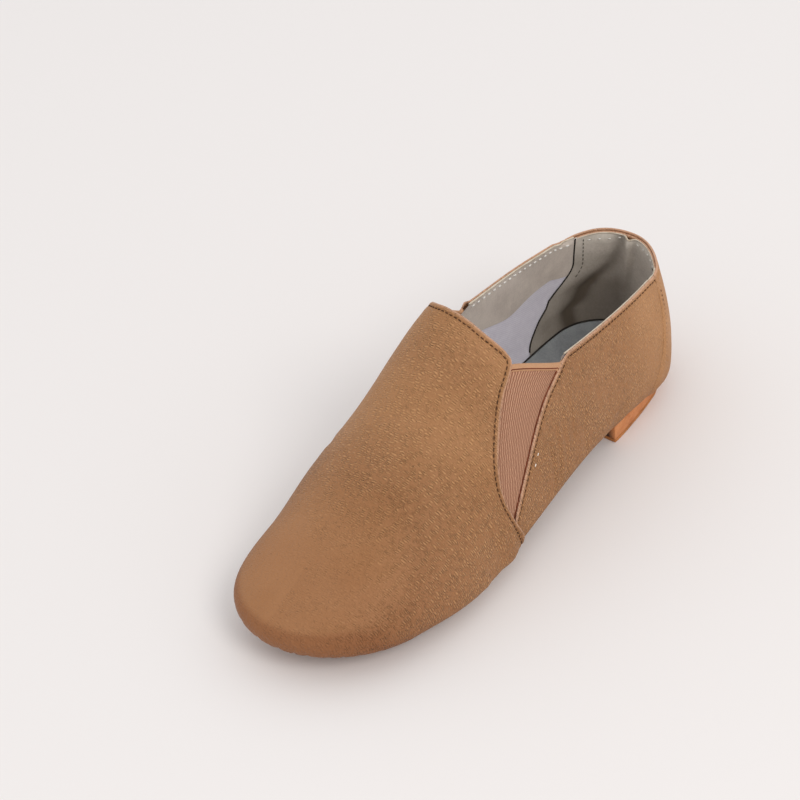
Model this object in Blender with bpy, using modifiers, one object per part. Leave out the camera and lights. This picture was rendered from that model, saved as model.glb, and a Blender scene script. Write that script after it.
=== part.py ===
# Slip-on jazz shoe for the wearer's left foot, in metres.
# The origin is on the floor under the middle of the heel; +X runs to the toe, +Y to the outer
# side of the foot, and +Z up. Every soft piece is laid on one form, the last. Ribs fan round the
# heel centre, run straight across the waist and ball, and fan round the toe centre. A place on
# the last is a side, a station along it (0 back of heel, 1 heel centre, 2 toe centre, 3 tip of
# toe) and a turn up the rib (-1 middle of the underside, 0 the widest line, 1 the ridge).
import bpy
import bmesh
import numpy as np
from math import acos, cos, pi, sin

# Sizes of the last
last_length = 0.2338
ball_width = 0.0810
heel_width = 0.0573
instep_height = 0.0902      # ridge of the last at the throat, above the floor
widest_height = 0.0300      # the line where the heel is widest, above the floor
collar_height = 0.0610      # top edge of the upper at the back seam, above the floor

# Thicknesses and gaps
wall = 0.0016               # quarter leather with its lining
overlay = 0.0008            # what the vamp and the counter stand above the quarters
insole_thickness = 0.0020
outsole_thickness = 0.0021
heel_height = 0.0059        # floor to the top of the heel, with its rubber top piece
top_piece_thickness = 0.0014
gore_thickness = 0.0010
binding_thickness = 0.0013
piece_gap = 0.0003          # between neighbouring pieces
gore_edge_gap = 0.0005      # along the shoe, between a gore and the slanting edges beside it
flat_margin = 0.0002        # how far the flat under the ball is pressed into its curve

# How the underside of the last runs above the sole pieces
arch_lift = 0.0010          # rise of the waist above the line from heel to ball
toe_spring = 0.0050         # rise of the tip of the toe above the ball

# Widths and places
binding_height = 0.0030     # folded top edge of a gore
gore_tip_width = 0.0016     # where a gore's lower point is cut off
step_run = 0.0003           # the length over which an overlay's step rises
heel_breast = 0.0330        # front face of the heel, ahead of the heel centre
opening_reach = 0.60        # openings over the outsole and heel, as a share of the half width
heel_taper = 0.97           # the heel's foot as a share of its top


# Half widths of the last: shares of the heel width and of the ball width on either side
width_rows = (
    # station, outer heel, outer ball, inner heel, inner ball
    (0.00, 0.445, 0.000, 0.445, 0.000),
    (0.50, 0.426, 0.000, 0.478, 0.000),
    (1.00, 0.492, 0.000, 0.508, 0.000),
    (1.25, 0.280, 0.210, 0.260, 0.145),
    (1.50, 0.100, 0.392, 0.090, 0.284),
    (1.70, 0.000, 0.509, 0.000, 0.437),
    (1.85, 0.000, 0.540, 0.000, 0.460),
    (2.00, 0.000, 0.500, 0.000, 0.414),
    (2.50, 0.000, 0.460, 0.000, 0.444),
    (3.00, 0.000, 0.460, 0.000, 0.460),
)

# Height of the widest line as a share of widest_height, and how full the ribs are above and
# below it: 2 is an ellipse, more is squarer
rib_rows = (
    # station, outer widest, inner widest, fullness above, fullness below
    (0.00, 0.983, 0.983, 1.80, 4.5),
    (1.00, 0.960, 1.000, 1.60, 4.5),
    (1.30, 0.883, 1.000, 1.95, 4.0),
    (1.60, 0.483, 0.800, 2.05, 3.5),
    (1.85, 0.417, 0.567, 2.00, 3.4),
    (2.00, 0.533, 0.533, 2.00, 3.2),
    (3.00, 0.567, 0.567, 2.15, 2.8),
)

# Ridge line: place as a share of last_length ahead of the heel centre, height as a share of
# instep_height. Behind the throat it only shapes the ribs, which the collar cuts off.
ridge_rows = (
    # place, height
    (-0.116, 1.009),
    (0.000, 1.070),
    (0.150, 1.081),
    (0.278, 1.050),
    (0.393, 1.000),
    (0.513, 0.725),
    (0.620, 0.560),
    (0.761, 0.364),
    (0.877, 0.266),
    (0.937, 0.258),
)

# Underside of the last: shares of the heel seat, the ball seat, the arch lift and the toe spring
bottom_rows = (
    # place, heel seat, ball seat, arch, toe
    (-0.116, 1.00, 0.00, 0.15, 0.00),
    (0.000, 1.00, 0.00, 0.00, 0.00),
    (0.128, 1.00, 0.00, 0.20, 0.00),
    (0.257, 0.95, 0.05, 1.10, 0.00),
    (0.385, 0.76, 0.24, 0.90, 0.00),
    (0.513, 0.26, 0.74, 0.20, 0.00),
    (0.620, 0.00, 1.00, 0.00, 0.00),
    (0.706, 0.00, 1.00, 0.00, 0.00),
    (0.813, 0.00, 1.00, 0.00, 0.24),
    (0.937, 0.00, 1.00, 0.00, 1.00),
)

# Collar: heights as shares of collar_height; the last row is the front corner of the quarters
collar_rows = (
    # station, outer, inner
    (0.000, 1.000, 1.000),
    (0.500, 0.985, 0.988),
    (1.000, 0.990, 0.985),
    (1.150, 1.020, 1.045),
    (1.367, 1.074, 1.092),
)

# Front edge of the quarters, from that corner down to the lower point of the gore
quarter_front_rows = (
    # share of the run, share of the height
    (0.000, 1.000),
    (0.100, 0.940),
    (0.310, 0.830),
    (0.480, 0.690),
    (0.665, 0.466),
    (0.840, 0.225),
    (1.000, 0.000),
)

# Back edge of the vamp, from the sole up past the gore to the throat and over the ridge
vamp_edge_rows = (
    # height as a share of instep_height, place as a share of last_length
    (0.050, 0.452),
    (0.110, 0.464),
    (0.245, 0.485),
    (0.366, 0.495),
    (0.500, 0.485),
    (0.620, 0.460),
    (0.750, 0.421),
    (0.850, 0.383),
    (0.925, 0.384),
    (0.970, 0.390),
    (1.000, 0.393),
)

# Front edge of the heel counter
counter_edge_rows = (
    # height as a share of collar_height, station
    (0.10, 1.090),
    (0.22, 1.060),
    (0.32, 1.030),
    (0.50, 0.995),
    (0.70, 0.925),
    (1.00, 0.870),
)

# Turns of the rows of points that the pieces share. The edge of the openings comes between the
# underside's rows and the edge's, whose first is the last's feather edge.
underside_turns = (-1.0, -0.90)
edge_turns = (-0.62, -0.50, -0.41, -0.28, -0.14)
side_rows = 5               # rows from there up to the collar, or to the gore's lower point
gore_rows = 7               # rows from the gore's lower point up to the throat's corner
gore_columns = 4            # strips across a gore
counter_strips = 8          # strips along each stretch of the upper, from the heel to the toe
heel_quarter_strips = 3
waist_strips = 4
vamp_strips = 8
toe_strips = 10
gore_tip_turn = 0.09
throat_corner_turn = 0.56
throat_turns = (0.66, 0.77, 0.88, 1.0)
gore_turns = [gore_tip_turn + (throat_corner_turn - gore_tip_turn) * row / gore_rows
              for row in range(1, gore_rows + 1)]
vamp_turns = [*gore_turns, *throat_turns]
opening_row = len(underside_turns)
outsole_lap = 1             # columns of the vamp by which the outsole laps over the closed waist
outsole_row = opening_row + 1   # outer edges of the sole pieces
insole_row = opening_row + 2
heel_row = opening_row + 3

merge_distance = 0.00002
sharp_angle = 0.7           # radians
search_steps = 30           # halvings that find a turn
follow_steps = 60           # half steps that bring a station onto a line
waist_station = 1.5         # where such a search starts


def smooth_curve(places, values, level_ends):
    # A cubic curve through the points; level_ends makes its ends run level.
    places = np.array(places)
    values = np.array(values)
    count = len(places)
    runs = np.diff(places)
    slopes = np.diff(values) / runs
    matrix = np.zeros((count, count))
    right = np.zeros(count)
    for row in range(1, count - 1):
        matrix[row, row - 1:row + 2] = (runs[row - 1], 2 * (runs[row - 1] + runs[row]), runs[row])
        right[row] = 6 * (slopes[row] - slopes[row - 1])
    matrix[0, 0] = matrix[-1, -1] = 2.0
    if level_ends:
        matrix[0, :2] = (2 * runs[0], runs[0])
        matrix[-1, -2:] = (runs[-1], 2 * runs[-1])
        right[0] = 6 * slopes[0]
        right[-1] = -6 * slopes[-1]
    bends = np.linalg.solve(matrix, right)

    def value_at(place):
        piece = min(max(int(np.searchsorted(places, place)) - 1, 0), count - 2)
        run = runs[piece]
        back = (places[piece + 1] - place) / run
        ahead = 1.0 - back
        bent = (back ** 3 - back) * bends[piece] + (ahead ** 3 - ahead) * bends[piece + 1]
        return float(back * values[piece] + ahead * values[piece + 1] + bent * run * run / 6)

    return value_at


def values_of(rows, index, scale=1.0):
    return [row[index] * scale for row in rows]


heel_radius = heel_width * width_rows[0][1]
toe_radius = ball_width * width_rows[-1][2]
toe_centre = last_length - heel_radius - toe_radius
full_wall = wall + overlay
thin_share = wall / full_wall
ball_seat_height = outsole_thickness + piece_gap + full_wall
heel_seat_height = heel_height + piece_gap + full_wall


def along(station):
    # Distance round the last's edge, in metres, from the back of the heel to a station.
    heel_part = min(station, 1.0) * heel_radius * pi / 2
    straight_part = min(max(station - 1.0, 0.0), 1.0) * toe_centre
    toe_part = max(station - 2.0, 0.0) * toe_radius * pi / 2
    return heel_part + straight_part + toe_part


def side_curves(name, heel_index, ball_index, widest_index):
    width_places = [along(row[0]) for row in width_rows]
    half_widths = [heel_width * row[heel_index] + ball_width * row[ball_index] for row in width_rows]
    rib_places = [along(row[0]) for row in rib_rows]
    return {
        "half width": smooth_curve(width_places, half_widths, True),
        "widest": smooth_curve(rib_places, values_of(rib_rows, widest_index, widest_height), True),
        "above": smooth_curve(rib_places, values_of(rib_rows, 3), True),
        "below": smooth_curve(rib_places, values_of(rib_rows, 4), True),
        "collar": smooth_curve(
            values_of(collar_rows, 0), values_of(collar_rows, widest_index, collar_height), False),
    }


curves = {1: side_curves("outer", 1, 2, 1), -1: side_curves("inner", 3, 4, 2)}
ridge_height = smooth_curve(
    values_of(ridge_rows, 0, last_length), values_of(ridge_rows, 1, instep_height), False)
bottom_height = smooth_curve(
    values_of(bottom_rows, 0, last_length),
    [row[1] * heel_seat_height + row[2] * ball_seat_height + row[3] * arch_lift
     + row[4] * toe_spring for row in bottom_rows], False)
vamp_edge_station = smooth_curve(
    values_of(vamp_edge_rows, 0, instep_height),
    [1.0 + place * last_length / toe_centre for height, place in vamp_edge_rows], False)
quarter_front_share = smooth_curve(
    values_of(quarter_front_rows, 0), values_of(quarter_front_rows, 1), False)
counter_edge_station = smooth_curve(
    values_of(counter_edge_rows, 0, collar_height), values_of(counter_edge_rows, 1), False)


def rib_fullness(side, station, turn):
    return curves[side]["above" if turn >= 0 else "below"](along(station))


def last_point(side, station, turn):
    # The point of the last at a station and a turn, on the side 1 (outer) or -1 (inner).
    distance = along(station)
    half_width = curves[side]["half width"](distance)
    widest = curves[side]["widest"](distance)
    power = 2.0 / rib_fullness(side, station, turn)
    angle = abs(turn) * pi / 2
    reach = half_width * max(cos(angle), 0.0) ** power
    rise = sin(angle) ** power
    if station < 1.0:
        heading = pi - station * pi / 2
        start = 0.0
    elif station < 2.0:
        heading = pi / 2
        start = (station - 1.0) * toe_centre
    else:
        heading = (3.0 - station) * pi / 2
        start = toe_centre
    x = start + reach * cos(heading)
    y = side * reach * sin(heading)
    limit = ridge_height(x) if turn >= 0 else bottom_height(x)
    return np.array((x, y, widest + (limit - widest) * rise))


def turn_at_height(side, station, height):
    # The turn, above the widest line, where a rib reaches a height.
    low, high = 0.0, 1.0
    for _ in range(search_steps):
        middle = (low + high) / 2
        if last_point(side, station, middle)[2] < height:
            low = middle
        else:
            high = middle
    return (low + high) / 2


def turn_at_reach(side, station, reach):
    # The turn, below the widest line, where a rib has a share of its half width.
    return -acos(reach ** (rib_fullness(side, station, -1.0) / 2)) / (pi / 2)


def station_on_line(side, turn, station_at_height):
    # The station where the rib's point at a turn lies on a line that is given by its heights.
    station = station_at_height(last_point(side, waist_station, turn)[2])
    for _ in range(follow_steps):
        target = station_at_height(last_point(side, station, turn)[2])
        station += 0.5 * (target - station)
    return station


def vamp_station(side, turn):
    return station_on_line(side, turn, vamp_edge_station)


corner_station = collar_rows[-1][0]
breast_station = 1.0 + heel_breast / toe_centre


def gore_tip(side):
    # Station and height of a gore's lower point.
    station = vamp_station(side, gore_tip_turn)
    return station, last_point(side, station, gore_tip_turn)[2]


gore_tips = {side: gore_tip(side) for side in (1, -1)}


def top_turn(side, station):
    # The turn of the quarters' top edge: the collar, then the front edge down to the gore's tip.
    corner_height = curves[side]["collar"](corner_station)
    if station <= corner_station:
        return turn_at_height(side, station, curves[side]["collar"](station))
    tip_station, tip_height = gore_tips[side]
    run_share = (station - corner_station) / (tip_station - corner_station)
    height = tip_height + (corner_height - tip_height) * quarter_front_share(run_share)
    return turn_at_height(side, station, height)


def row_turns(side, station, upper_limit):
    # Turns of one rib's rows, from the middle of the underside up to a limit.
    opening = turn_at_reach(side, station, opening_reach)
    turns = [*underside_turns, opening, *edge_turns]
    start = turns[-1]
    steps = [(upper_limit - start) * row / side_rows for row in range(1, side_rows + 1)]
    return turns + [start + step for step in steps]


# One line of points up the side: the stations and turns of its rows, and its share of full wall.
class Column:
    def __init__(self, side, stations, turns, wall_share):
        self.side = side
        self.stations = stations
        self.turns = turns
        self.wall_share = wall_share

    def point(self, row):
        return last_point(self.side, self.stations[row], self.turns[row])


def quarter_column(side, top_station, station_at_turn, wall_share):
    turns = row_turns(side, top_station, top_turn(side, top_station))
    return Column(side, [station_at_turn(turn) for turn in turns], turns, wall_share)


def quarter_columns_between(first, last, count):
    # The columns between two key columns of the quarters; their tops follow the collar's line.
    found = []
    for index in range(1, count):
        share = index / count
        stations = [a + (b - a) * share for a, b in zip(first.stations, last.stations)]
        turns = row_turns(first.side, stations[-1], top_turn(first.side, stations[-1]))
        found.append(Column(first.side, stations, turns, last.wall_share))
    return found


def vamp_columns_between(first, last, count):
    found = []
    for index in range(1, count):
        share = index / count
        stations = [a + (b - a) * share for a, b in zip(first.stations, last.stations)]
        turns = [a + (b - a) * share for a, b in zip(first.turns, last.turns)]
        found.append(Column(first.side, stations, turns, last.wall_share))
    return found


def vamp_column(side, station):
    turns = row_turns(side, station, gore_tip_turn) + vamp_turns
    return Column(side, [station] * len(turns), turns, 1.0)


def shifted(source, shift, wall_share):
    stations = [station + shift for station in source.stations]
    return Column(source.side, stations, source.turns, wall_share)


def make_columns(side):
    # Key columns are the back seam, the counter's front edge, the heel's front face, the front
    # corner of the collar, the vamp's edge, the toe centre and the tip of the toe. An overlay's
    # edge is a pair of columns, a step's run apart, with the wall thin on one side of it.
    step = step_run / toe_centre
    seam = quarter_column(side, 0.0, lambda turn: 0.0, 1.0)
    counter_top = counter_edge_rows[-1][1]
    counter_front = quarter_column(
        side, counter_top, lambda turn: station_on_line(side, turn, counter_edge_station), 1.0)
    quarter_back = shifted(counter_front, step, thin_share)
    breast = quarter_column(side, breast_station, lambda turn: breast_station, thin_share)
    corner = quarter_column(side, corner_station, lambda turn: corner_station, thin_share)
    tip_turns = row_turns(side, gore_tips[side][0], gore_tip_turn)
    vamp_edge_turns = tip_turns + vamp_turns
    vamp_back = Column(
        side, [vamp_station(side, turn) for turn in vamp_edge_turns], vamp_edge_turns, 1.0)
    quarter_tip = Column(side, [station - step for station in vamp_back.stations[:len(tip_turns)]],
                         tip_turns, thin_share)
    toe_start = vamp_column(side, 2.0)
    toe_tip = vamp_column(side, 3.0)
    counter_middle = quarter_columns_between(seam, counter_front, counter_strips)
    heel_middle = quarter_columns_between(quarter_back, breast, heel_quarter_strips)
    waist_middle = quarter_columns_between(breast, corner, waist_strips)
    gore_side = quarter_columns_between(corner, quarter_tip, gore_rows)
    vamp_middle = vamp_columns_between(vamp_back, toe_start, vamp_strips)
    toe_middle = vamp_columns_between(toe_start, toe_tip, toe_strips)
    return {
        "counter": [seam, *counter_middle, counter_front],
        "heel quarter": [quarter_back, *heel_middle, breast],
        "waist": [*waist_middle, corner, *gore_side, quarter_tip],
        "vamp": [vamp_back, *vamp_middle, toe_start, *toe_middle, toe_tip],
    }


for old in list(bpy.data.objects):
    bpy.data.objects.remove(old, do_unlink=True)
shoe = bpy.data.collections.new("jazz shoe")
bpy.context.scene.collection.children.link(shoe)
all_columns = {side: make_columns(side) for side in (1, -1)}


def make_material(name, colour, roughness):
    material = bpy.data.materials.new(name)
    material.use_nodes = True
    shader = material.node_tree.nodes["Principled BSDF"]
    shader.inputs["Base Color"].default_value = (*colour, 1.0)
    shader.inputs["Roughness"].default_value = roughness
    shader.inputs["Metallic"].default_value = 0.0
    return material


def loft(surface, lines, side):
    # Faces between neighbouring lines of points. A face is made wherever both lines have its
    # rows; a line is a dictionary from row to point. Returns the points made for each line.
    made = []
    for line in lines:
        verts = {row: surface.verts.new(point) for row, point in line.items()}
        if made:
            before = made[-1]
            for row in verts:
                if row + 1 in verts and row in before and row + 1 in before:
                    corners = [before[row], before[row + 1], verts[row + 1], verts[row]]
                    surface.faces.new(corners if side > 0 else corners[::-1])
        made.append(verts)
    return made


def join_seams(surface):
    bmesh.ops.remove_doubles(surface, verts=surface.verts, dist=merge_distance)
    loose = [vert for vert in surface.verts if not vert.link_faces]
    bmesh.ops.delete(surface, geom=loose, context="VERTS")
    surface.normal_update()


def lay(surface, lift):
    # Moves the surface along its own normals: away from the foot where lift is positive.
    places = [vert.co + vert.normal * lift for vert in surface.verts]
    for vert, place in zip(surface.verts, places):
        vert.co = place


def make_object(name, surface, material):
    mesh = bpy.data.meshes.new(name)
    surface.to_mesh(mesh)
    surface.free()
    mesh.materials.append(material)
    mesh.shade_smooth()
    mesh.set_sharp_from_angle(angle=sharp_angle)
    piece = bpy.data.objects.new(name, mesh)
    shoe.objects.link(piece)
    return piece


def thicken(piece, thickness, outwards):
    solidify = piece.modifiers.new("thickness", "SOLIDIFY")
    solidify.thickness = thickness
    solidify.offset = 1.0 if outwards else -1.0
    return solidify


def make_upper(material):
    # The last's own surface is the lining side, and the wall is built outwards from it. It is
    # open at the collar, at both gores, and under the heel and the forefoot.
    surface = bmesh.new()
    wall_layer = surface.verts.layers.deform.verify()
    for side, sections in all_columns.items():
        lines = []
        shares = []
        for name, columns in sections.items():
            for index, line in enumerate(columns):
                is_open = name == "counter" or (name == "vamp" and index >= outsole_lap)
                rows = range(opening_row if is_open else 0, len(line.turns))
                lines.append({row: line.point(row) for row in rows})
                shares.append(line.wall_share)
        for verts, share in zip(loft(surface, lines, side), shares):
            for vert in verts.values():
                vert[wall_layer][0] = share
    join_seams(surface)
    upper = make_object("upper", surface, material)
    upper.vertex_groups.new(name="wall share")
    solidify = thicken(upper, full_wall, True)
    solidify.vertex_group = "wall share"
    return upper


def sole_surface(names, last_row, lift):
    # The underside of the last as far out as a row, laid at a distance from it. The second
    # column of an overlay's step is left out, because the underside has no step.
    surface = bmesh.new()
    for side, sections in all_columns.items():
        columns = [line for name in names for line in sections[name]
                   if line not in (sections["heel quarter"][0], sections["waist"][-1])]
        loft(surface, [{row: line.point(row) for row in range(last_row + 1)} for line in columns],
             side)
    join_seams(surface)
    lay(surface, lift)
    return surface


def fill_down(surface, underside_at, spread=1.0):
    # Closes a surface into a solid that reaches down to a height worked out for each point.
    middle = sum(vert.co.x for vert in surface.verts) / len(surface.verts)
    made = bmesh.ops.extrude_face_region(surface, geom=surface.faces[:] + surface.edges[:])
    for vert in made["geom"]:
        if isinstance(vert, bmesh.types.BMVert):
            vert.co.x = middle + (vert.co.x - middle) * spread
            vert.co.y *= spread
            vert.co.z = underside_at(vert.co.x)
    bmesh.ops.recalc_face_normals(surface, faces=surface.faces)


def make_insole(material):
    surface = sole_surface(("counter", "heel quarter", "waist", "vamp"), insole_row, -piece_gap)
    thicken(make_object("insole", surface, material), insole_thickness, False)


def make_outsole(material):
    # Flat on the floor under the ball, lifted by the toe spring and towards the waist.
    def underside_at(x):
        return max(0.0, bottom_height(x) - ball_seat_height - flat_margin)
    surface = sole_surface(("vamp",), outsole_row, full_wall + piece_gap)
    fill_down(surface, underside_at)
    make_object("outsole_forepart", surface, material)


def make_heel(material, top_piece_material):
    top_piece_seat = top_piece_thickness + piece_gap
    surface = sole_surface(("counter", "heel quarter"), heel_row, full_wall + piece_gap)
    fill_down(surface, lambda x: top_piece_seat, heel_taper)
    make_object("heel", surface, material)
    surface = sole_surface(("counter", "heel quarter"), heel_row, full_wall + piece_gap)
    middle = sum(vert.co.x for vert in surface.verts) / len(surface.verts)
    for vert in surface.verts:
        vert.co.x = middle + (vert.co.x - middle) * heel_taper
        vert.co.y *= heel_taper
        vert.co.z = top_piece_thickness
    fill_down(surface, lambda x: 0.0)
    make_object("heel_top_piece", surface, top_piece_material)


def gore_row(side, row):
    # The points across a gore at a whole row, from the quarter's edge to the vamp's, both of
    # which have points at the same rows.
    share = row / gore_rows
    tip_station = gore_tips[side][0]
    back_station = tip_station + (corner_station - tip_station) * share
    back_turn = top_turn(side, back_station)
    front_turn = gore_tip_turn + (throat_corner_turn - gore_tip_turn) * share
    front_station = vamp_station(side, front_turn)
    width = (front_station - back_station) * toe_centre
    inset = min(gore_edge_gap / width, 0.5) if width > 0 else 0.5
    points = []
    for index in range(gore_columns + 1):
        across = inset + (1.0 - 2 * inset) * index / gore_columns
        station = back_station + (front_station - back_station) * across
        points.append(last_point(side, station, back_turn + (front_turn - back_turn) * across))
    return points


def gore_surface(side, low_row, high_row):
    # A gore from one height to another, both in rows, which may be parts of a row.
    whole_rows = [gore_row(side, row) for row in range(gore_rows + 1)]
    heights = [low_row, *(row for row in range(gore_rows + 1) if low_row < row < high_row), high_row]
    lines = [{} for _ in range(gore_columns + 1)]
    for place, height in enumerate(heights):
        below = min(int(height), gore_rows - 1)
        share = height - below
        for index, line in enumerate(lines):
            line[place] = (whole_rows[below][index] * (1 - share)
                           + whole_rows[below + 1][index] * share)
    surface = bmesh.new()
    loft(surface, lines, side)
    surface.normal_update()
    return surface


def make_gores(material, binding_material):
    for side, name in ((1, "outer"), (-1, "inner")):
        second_row = gore_row(side, 1)
        tip_row = gore_tip_width / np.linalg.norm(second_row[-1] - second_row[0])
        top_edge, edge_below = gore_row(side, gore_rows)[0], gore_row(side, gore_rows - 1)[0]
        row_height = np.linalg.norm(top_edge - edge_below)
        binding_row = gore_rows - binding_height / row_height
        gore_top_row = binding_row - piece_gap / row_height
        thicken(make_object("gore_" + name, gore_surface(side, tip_row, gore_top_row), material),
                gore_thickness, True)
        thicken(make_object("gore_binding_" + name, gore_surface(side, binding_row, gore_rows),
                            binding_material), binding_thickness, True)


leather = make_material("tan leather", (0.42, 0.235, 0.115), 0.55)
elastic = make_material("elastic webbing", (0.44, 0.25, 0.15), 0.9)
binding = make_material("folded leather edge", (0.50, 0.27, 0.14), 0.55)
felt = make_material("grey insole felt", (0.155, 0.17, 0.18), 0.95)
suede = make_material("suede outsole", (0.30, 0.19, 0.11), 0.95)
stack = make_material("stacked leather heel", (0.50, 0.21, 0.08), 0.6)
rubber = make_material("brown rubber", (0.20, 0.11, 0.06), 0.8)

make_upper(leather)
make_insole(felt)
make_outsole(suede)
make_heel(stack, rubber)
make_gores(elastic, binding)
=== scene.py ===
import bpy
import bmesh
import numpy as np
from math import cos, pi, radians, sin
from mathutils import Matrix, Vector


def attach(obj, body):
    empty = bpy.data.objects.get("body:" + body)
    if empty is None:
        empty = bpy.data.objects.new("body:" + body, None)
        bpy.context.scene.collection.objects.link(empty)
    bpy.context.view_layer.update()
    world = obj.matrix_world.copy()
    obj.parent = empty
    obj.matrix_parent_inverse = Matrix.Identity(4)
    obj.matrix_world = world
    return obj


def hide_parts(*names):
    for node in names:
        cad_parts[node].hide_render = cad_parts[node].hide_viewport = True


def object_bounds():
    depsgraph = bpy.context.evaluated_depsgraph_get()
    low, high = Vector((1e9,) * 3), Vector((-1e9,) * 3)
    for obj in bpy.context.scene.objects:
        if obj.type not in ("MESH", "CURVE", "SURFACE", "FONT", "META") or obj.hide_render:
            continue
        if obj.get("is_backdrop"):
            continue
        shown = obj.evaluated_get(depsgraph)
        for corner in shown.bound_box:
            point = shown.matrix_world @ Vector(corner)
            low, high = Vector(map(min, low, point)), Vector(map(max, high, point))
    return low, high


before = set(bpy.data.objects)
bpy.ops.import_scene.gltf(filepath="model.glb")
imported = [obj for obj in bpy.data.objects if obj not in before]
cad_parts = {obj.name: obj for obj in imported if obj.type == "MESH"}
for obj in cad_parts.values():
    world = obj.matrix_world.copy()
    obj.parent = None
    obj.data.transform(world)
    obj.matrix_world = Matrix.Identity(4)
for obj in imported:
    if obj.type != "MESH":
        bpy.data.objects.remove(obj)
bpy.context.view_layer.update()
mm = 0.001

# The last, in the same sizes as the CAD. A place on it is a side (1 outer, -1 inner), a station
# from the back of the heel (0) over the heel centre (1) and toe centre (2) to the toe's tip (3),
# and a turn up the rib: -1 middle of the underside, 0 the widest line, 1 the ridge.
lastSizes = {
    "length": 0.2338, "ballWidth": 0.0810, "heelWidth": 0.0573, "instepHeight": 0.0902,
    "widestHeight": 0.0300, "collarHeight": 0.0610, "quarterWall": 0.0016, "vampWall": 0.0024,
    "heelHeight": 0.0059, "outsole": 0.0021, "gap": 0.0003, "archLift": 0.0010, "toeSpring": 0.0050,
    "insole": 0.0020, "heelBreast": 0.0330, "topPiece": 0.0014, "heelTaper": 0.97,
}
widthRows = (  # station, outer heel, outer ball, inner heel, inner ball
    (0.00, 0.445, 0.000, 0.445, 0.000), (0.50, 0.426, 0.000, 0.478, 0.000),
    (1.00, 0.492, 0.000, 0.508, 0.000), (1.25, 0.280, 0.210, 0.260, 0.145),
    (1.50, 0.100, 0.392, 0.090, 0.284), (1.70, 0.000, 0.509, 0.000, 0.437),
    (1.85, 0.000, 0.540, 0.000, 0.460), (2.00, 0.000, 0.500, 0.000, 0.414),
    (2.50, 0.000, 0.460, 0.000, 0.444), (3.00, 0.000, 0.460, 0.000, 0.460),
)
ribRows = (  # station, outer widest, inner widest, fullness above, fullness below
    (0.00, 0.983, 0.983, 1.80, 4.5), (1.00, 0.960, 1.000, 1.60, 4.5),
    (1.30, 0.883, 1.000, 1.95, 4.0), (1.60, 0.483, 0.800, 2.05, 3.5),
    (1.85, 0.417, 0.567, 2.00, 3.4), (2.00, 0.533, 0.533, 2.00, 3.2),
    (3.00, 0.567, 0.567, 2.15, 2.8),
)
ridgeRows = (  # place, height
    (-0.116, 1.009), (0.000, 1.070), (0.150, 1.081), (0.278, 1.050), (0.393, 1.000),
    (0.513, 0.725), (0.620, 0.560), (0.761, 0.364), (0.877, 0.266), (0.937, 0.258),
)
bottomRows = (  # place, heel seat, ball seat, arch, toe
    (-0.116, 1.00, 0.00, 0.15, 0.00), (0.000, 1.00, 0.00, 0.00, 0.00),
    (0.128, 1.00, 0.00, 0.20, 0.00), (0.257, 0.95, 0.05, 1.10, 0.00),
    (0.385, 0.76, 0.24, 0.90, 0.00), (0.513, 0.26, 0.74, 0.20, 0.00),
    (0.620, 0.00, 1.00, 0.00, 0.00), (0.706, 0.00, 1.00, 0.00, 0.00),
    (0.813, 0.00, 1.00, 0.00, 0.24), (0.937, 0.00, 1.00, 0.00, 1.00),
)
collarRows = (  # station, outer, inner
    (0.000, 1.000, 1.000), (0.500, 0.985, 0.988), (1.000, 0.990, 0.985),
    (1.150, 1.020, 1.045), (1.367, 1.074, 1.092),
)
frontRows = (  # quarter's front edge: share of the run, share of the height
    (0.000, 1.000), (0.100, 0.940), (0.310, 0.830), (0.480, 0.690), (0.665, 0.466),
    (0.840, 0.225), (1.000, 0.000),
)
vampEdgeRows = (  # share of the instep's height, share of the length
    (0.050, 0.452), (0.110, 0.464), (0.245, 0.485), (0.366, 0.495), (0.500, 0.485), (0.620, 0.460),
    (0.750, 0.421), (0.850, 0.383), (0.925, 0.384), (0.970, 0.390), (1.000, 0.393),
)
counterRows = (  # share of the collar's height, station
    (0.10, 1.090), (0.22, 1.060), (0.32, 1.030), (0.50, 0.995), (0.70, 0.925), (1.00, 0.870),
)
vampTrimRows = (  # turn, how far the folded vamp reaches behind the line above: outer, inner
    (0.05, 0.0, 0.0), (0.20, 0.002, 0.0), (0.30, 0.002, 0.002), (0.35, 0.0045, 0.004),
    (0.40, 0.008, 0.006), (0.45, 0.0125, 0.009), (0.50, 0.0175, 0.013), (0.53, 0.019, 0.016),
    (0.55, 0.0145, 0.019), (0.57, 0.0125, 0.021), (0.59, 0.0085, 0.024), (0.61, 0.005, 0.026),
    (0.66, 0.0025, 0.030), (0.70, 0.002, 0.028), (0.75, 0.0025, 0.0225), (0.80, 0.004, 0.018),
    (0.85, 0.006, 0.0145), (0.90, 0.007, 0.0125), (0.94, 0.0085, 0.0115), (1.00, 0.0095, 0.0095),
)
goreTurns = {"tip": 0.09, "corner": {1: 0.564, -1: 0.60}, "sag": 0.040, "backShare": 0.942}


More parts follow.
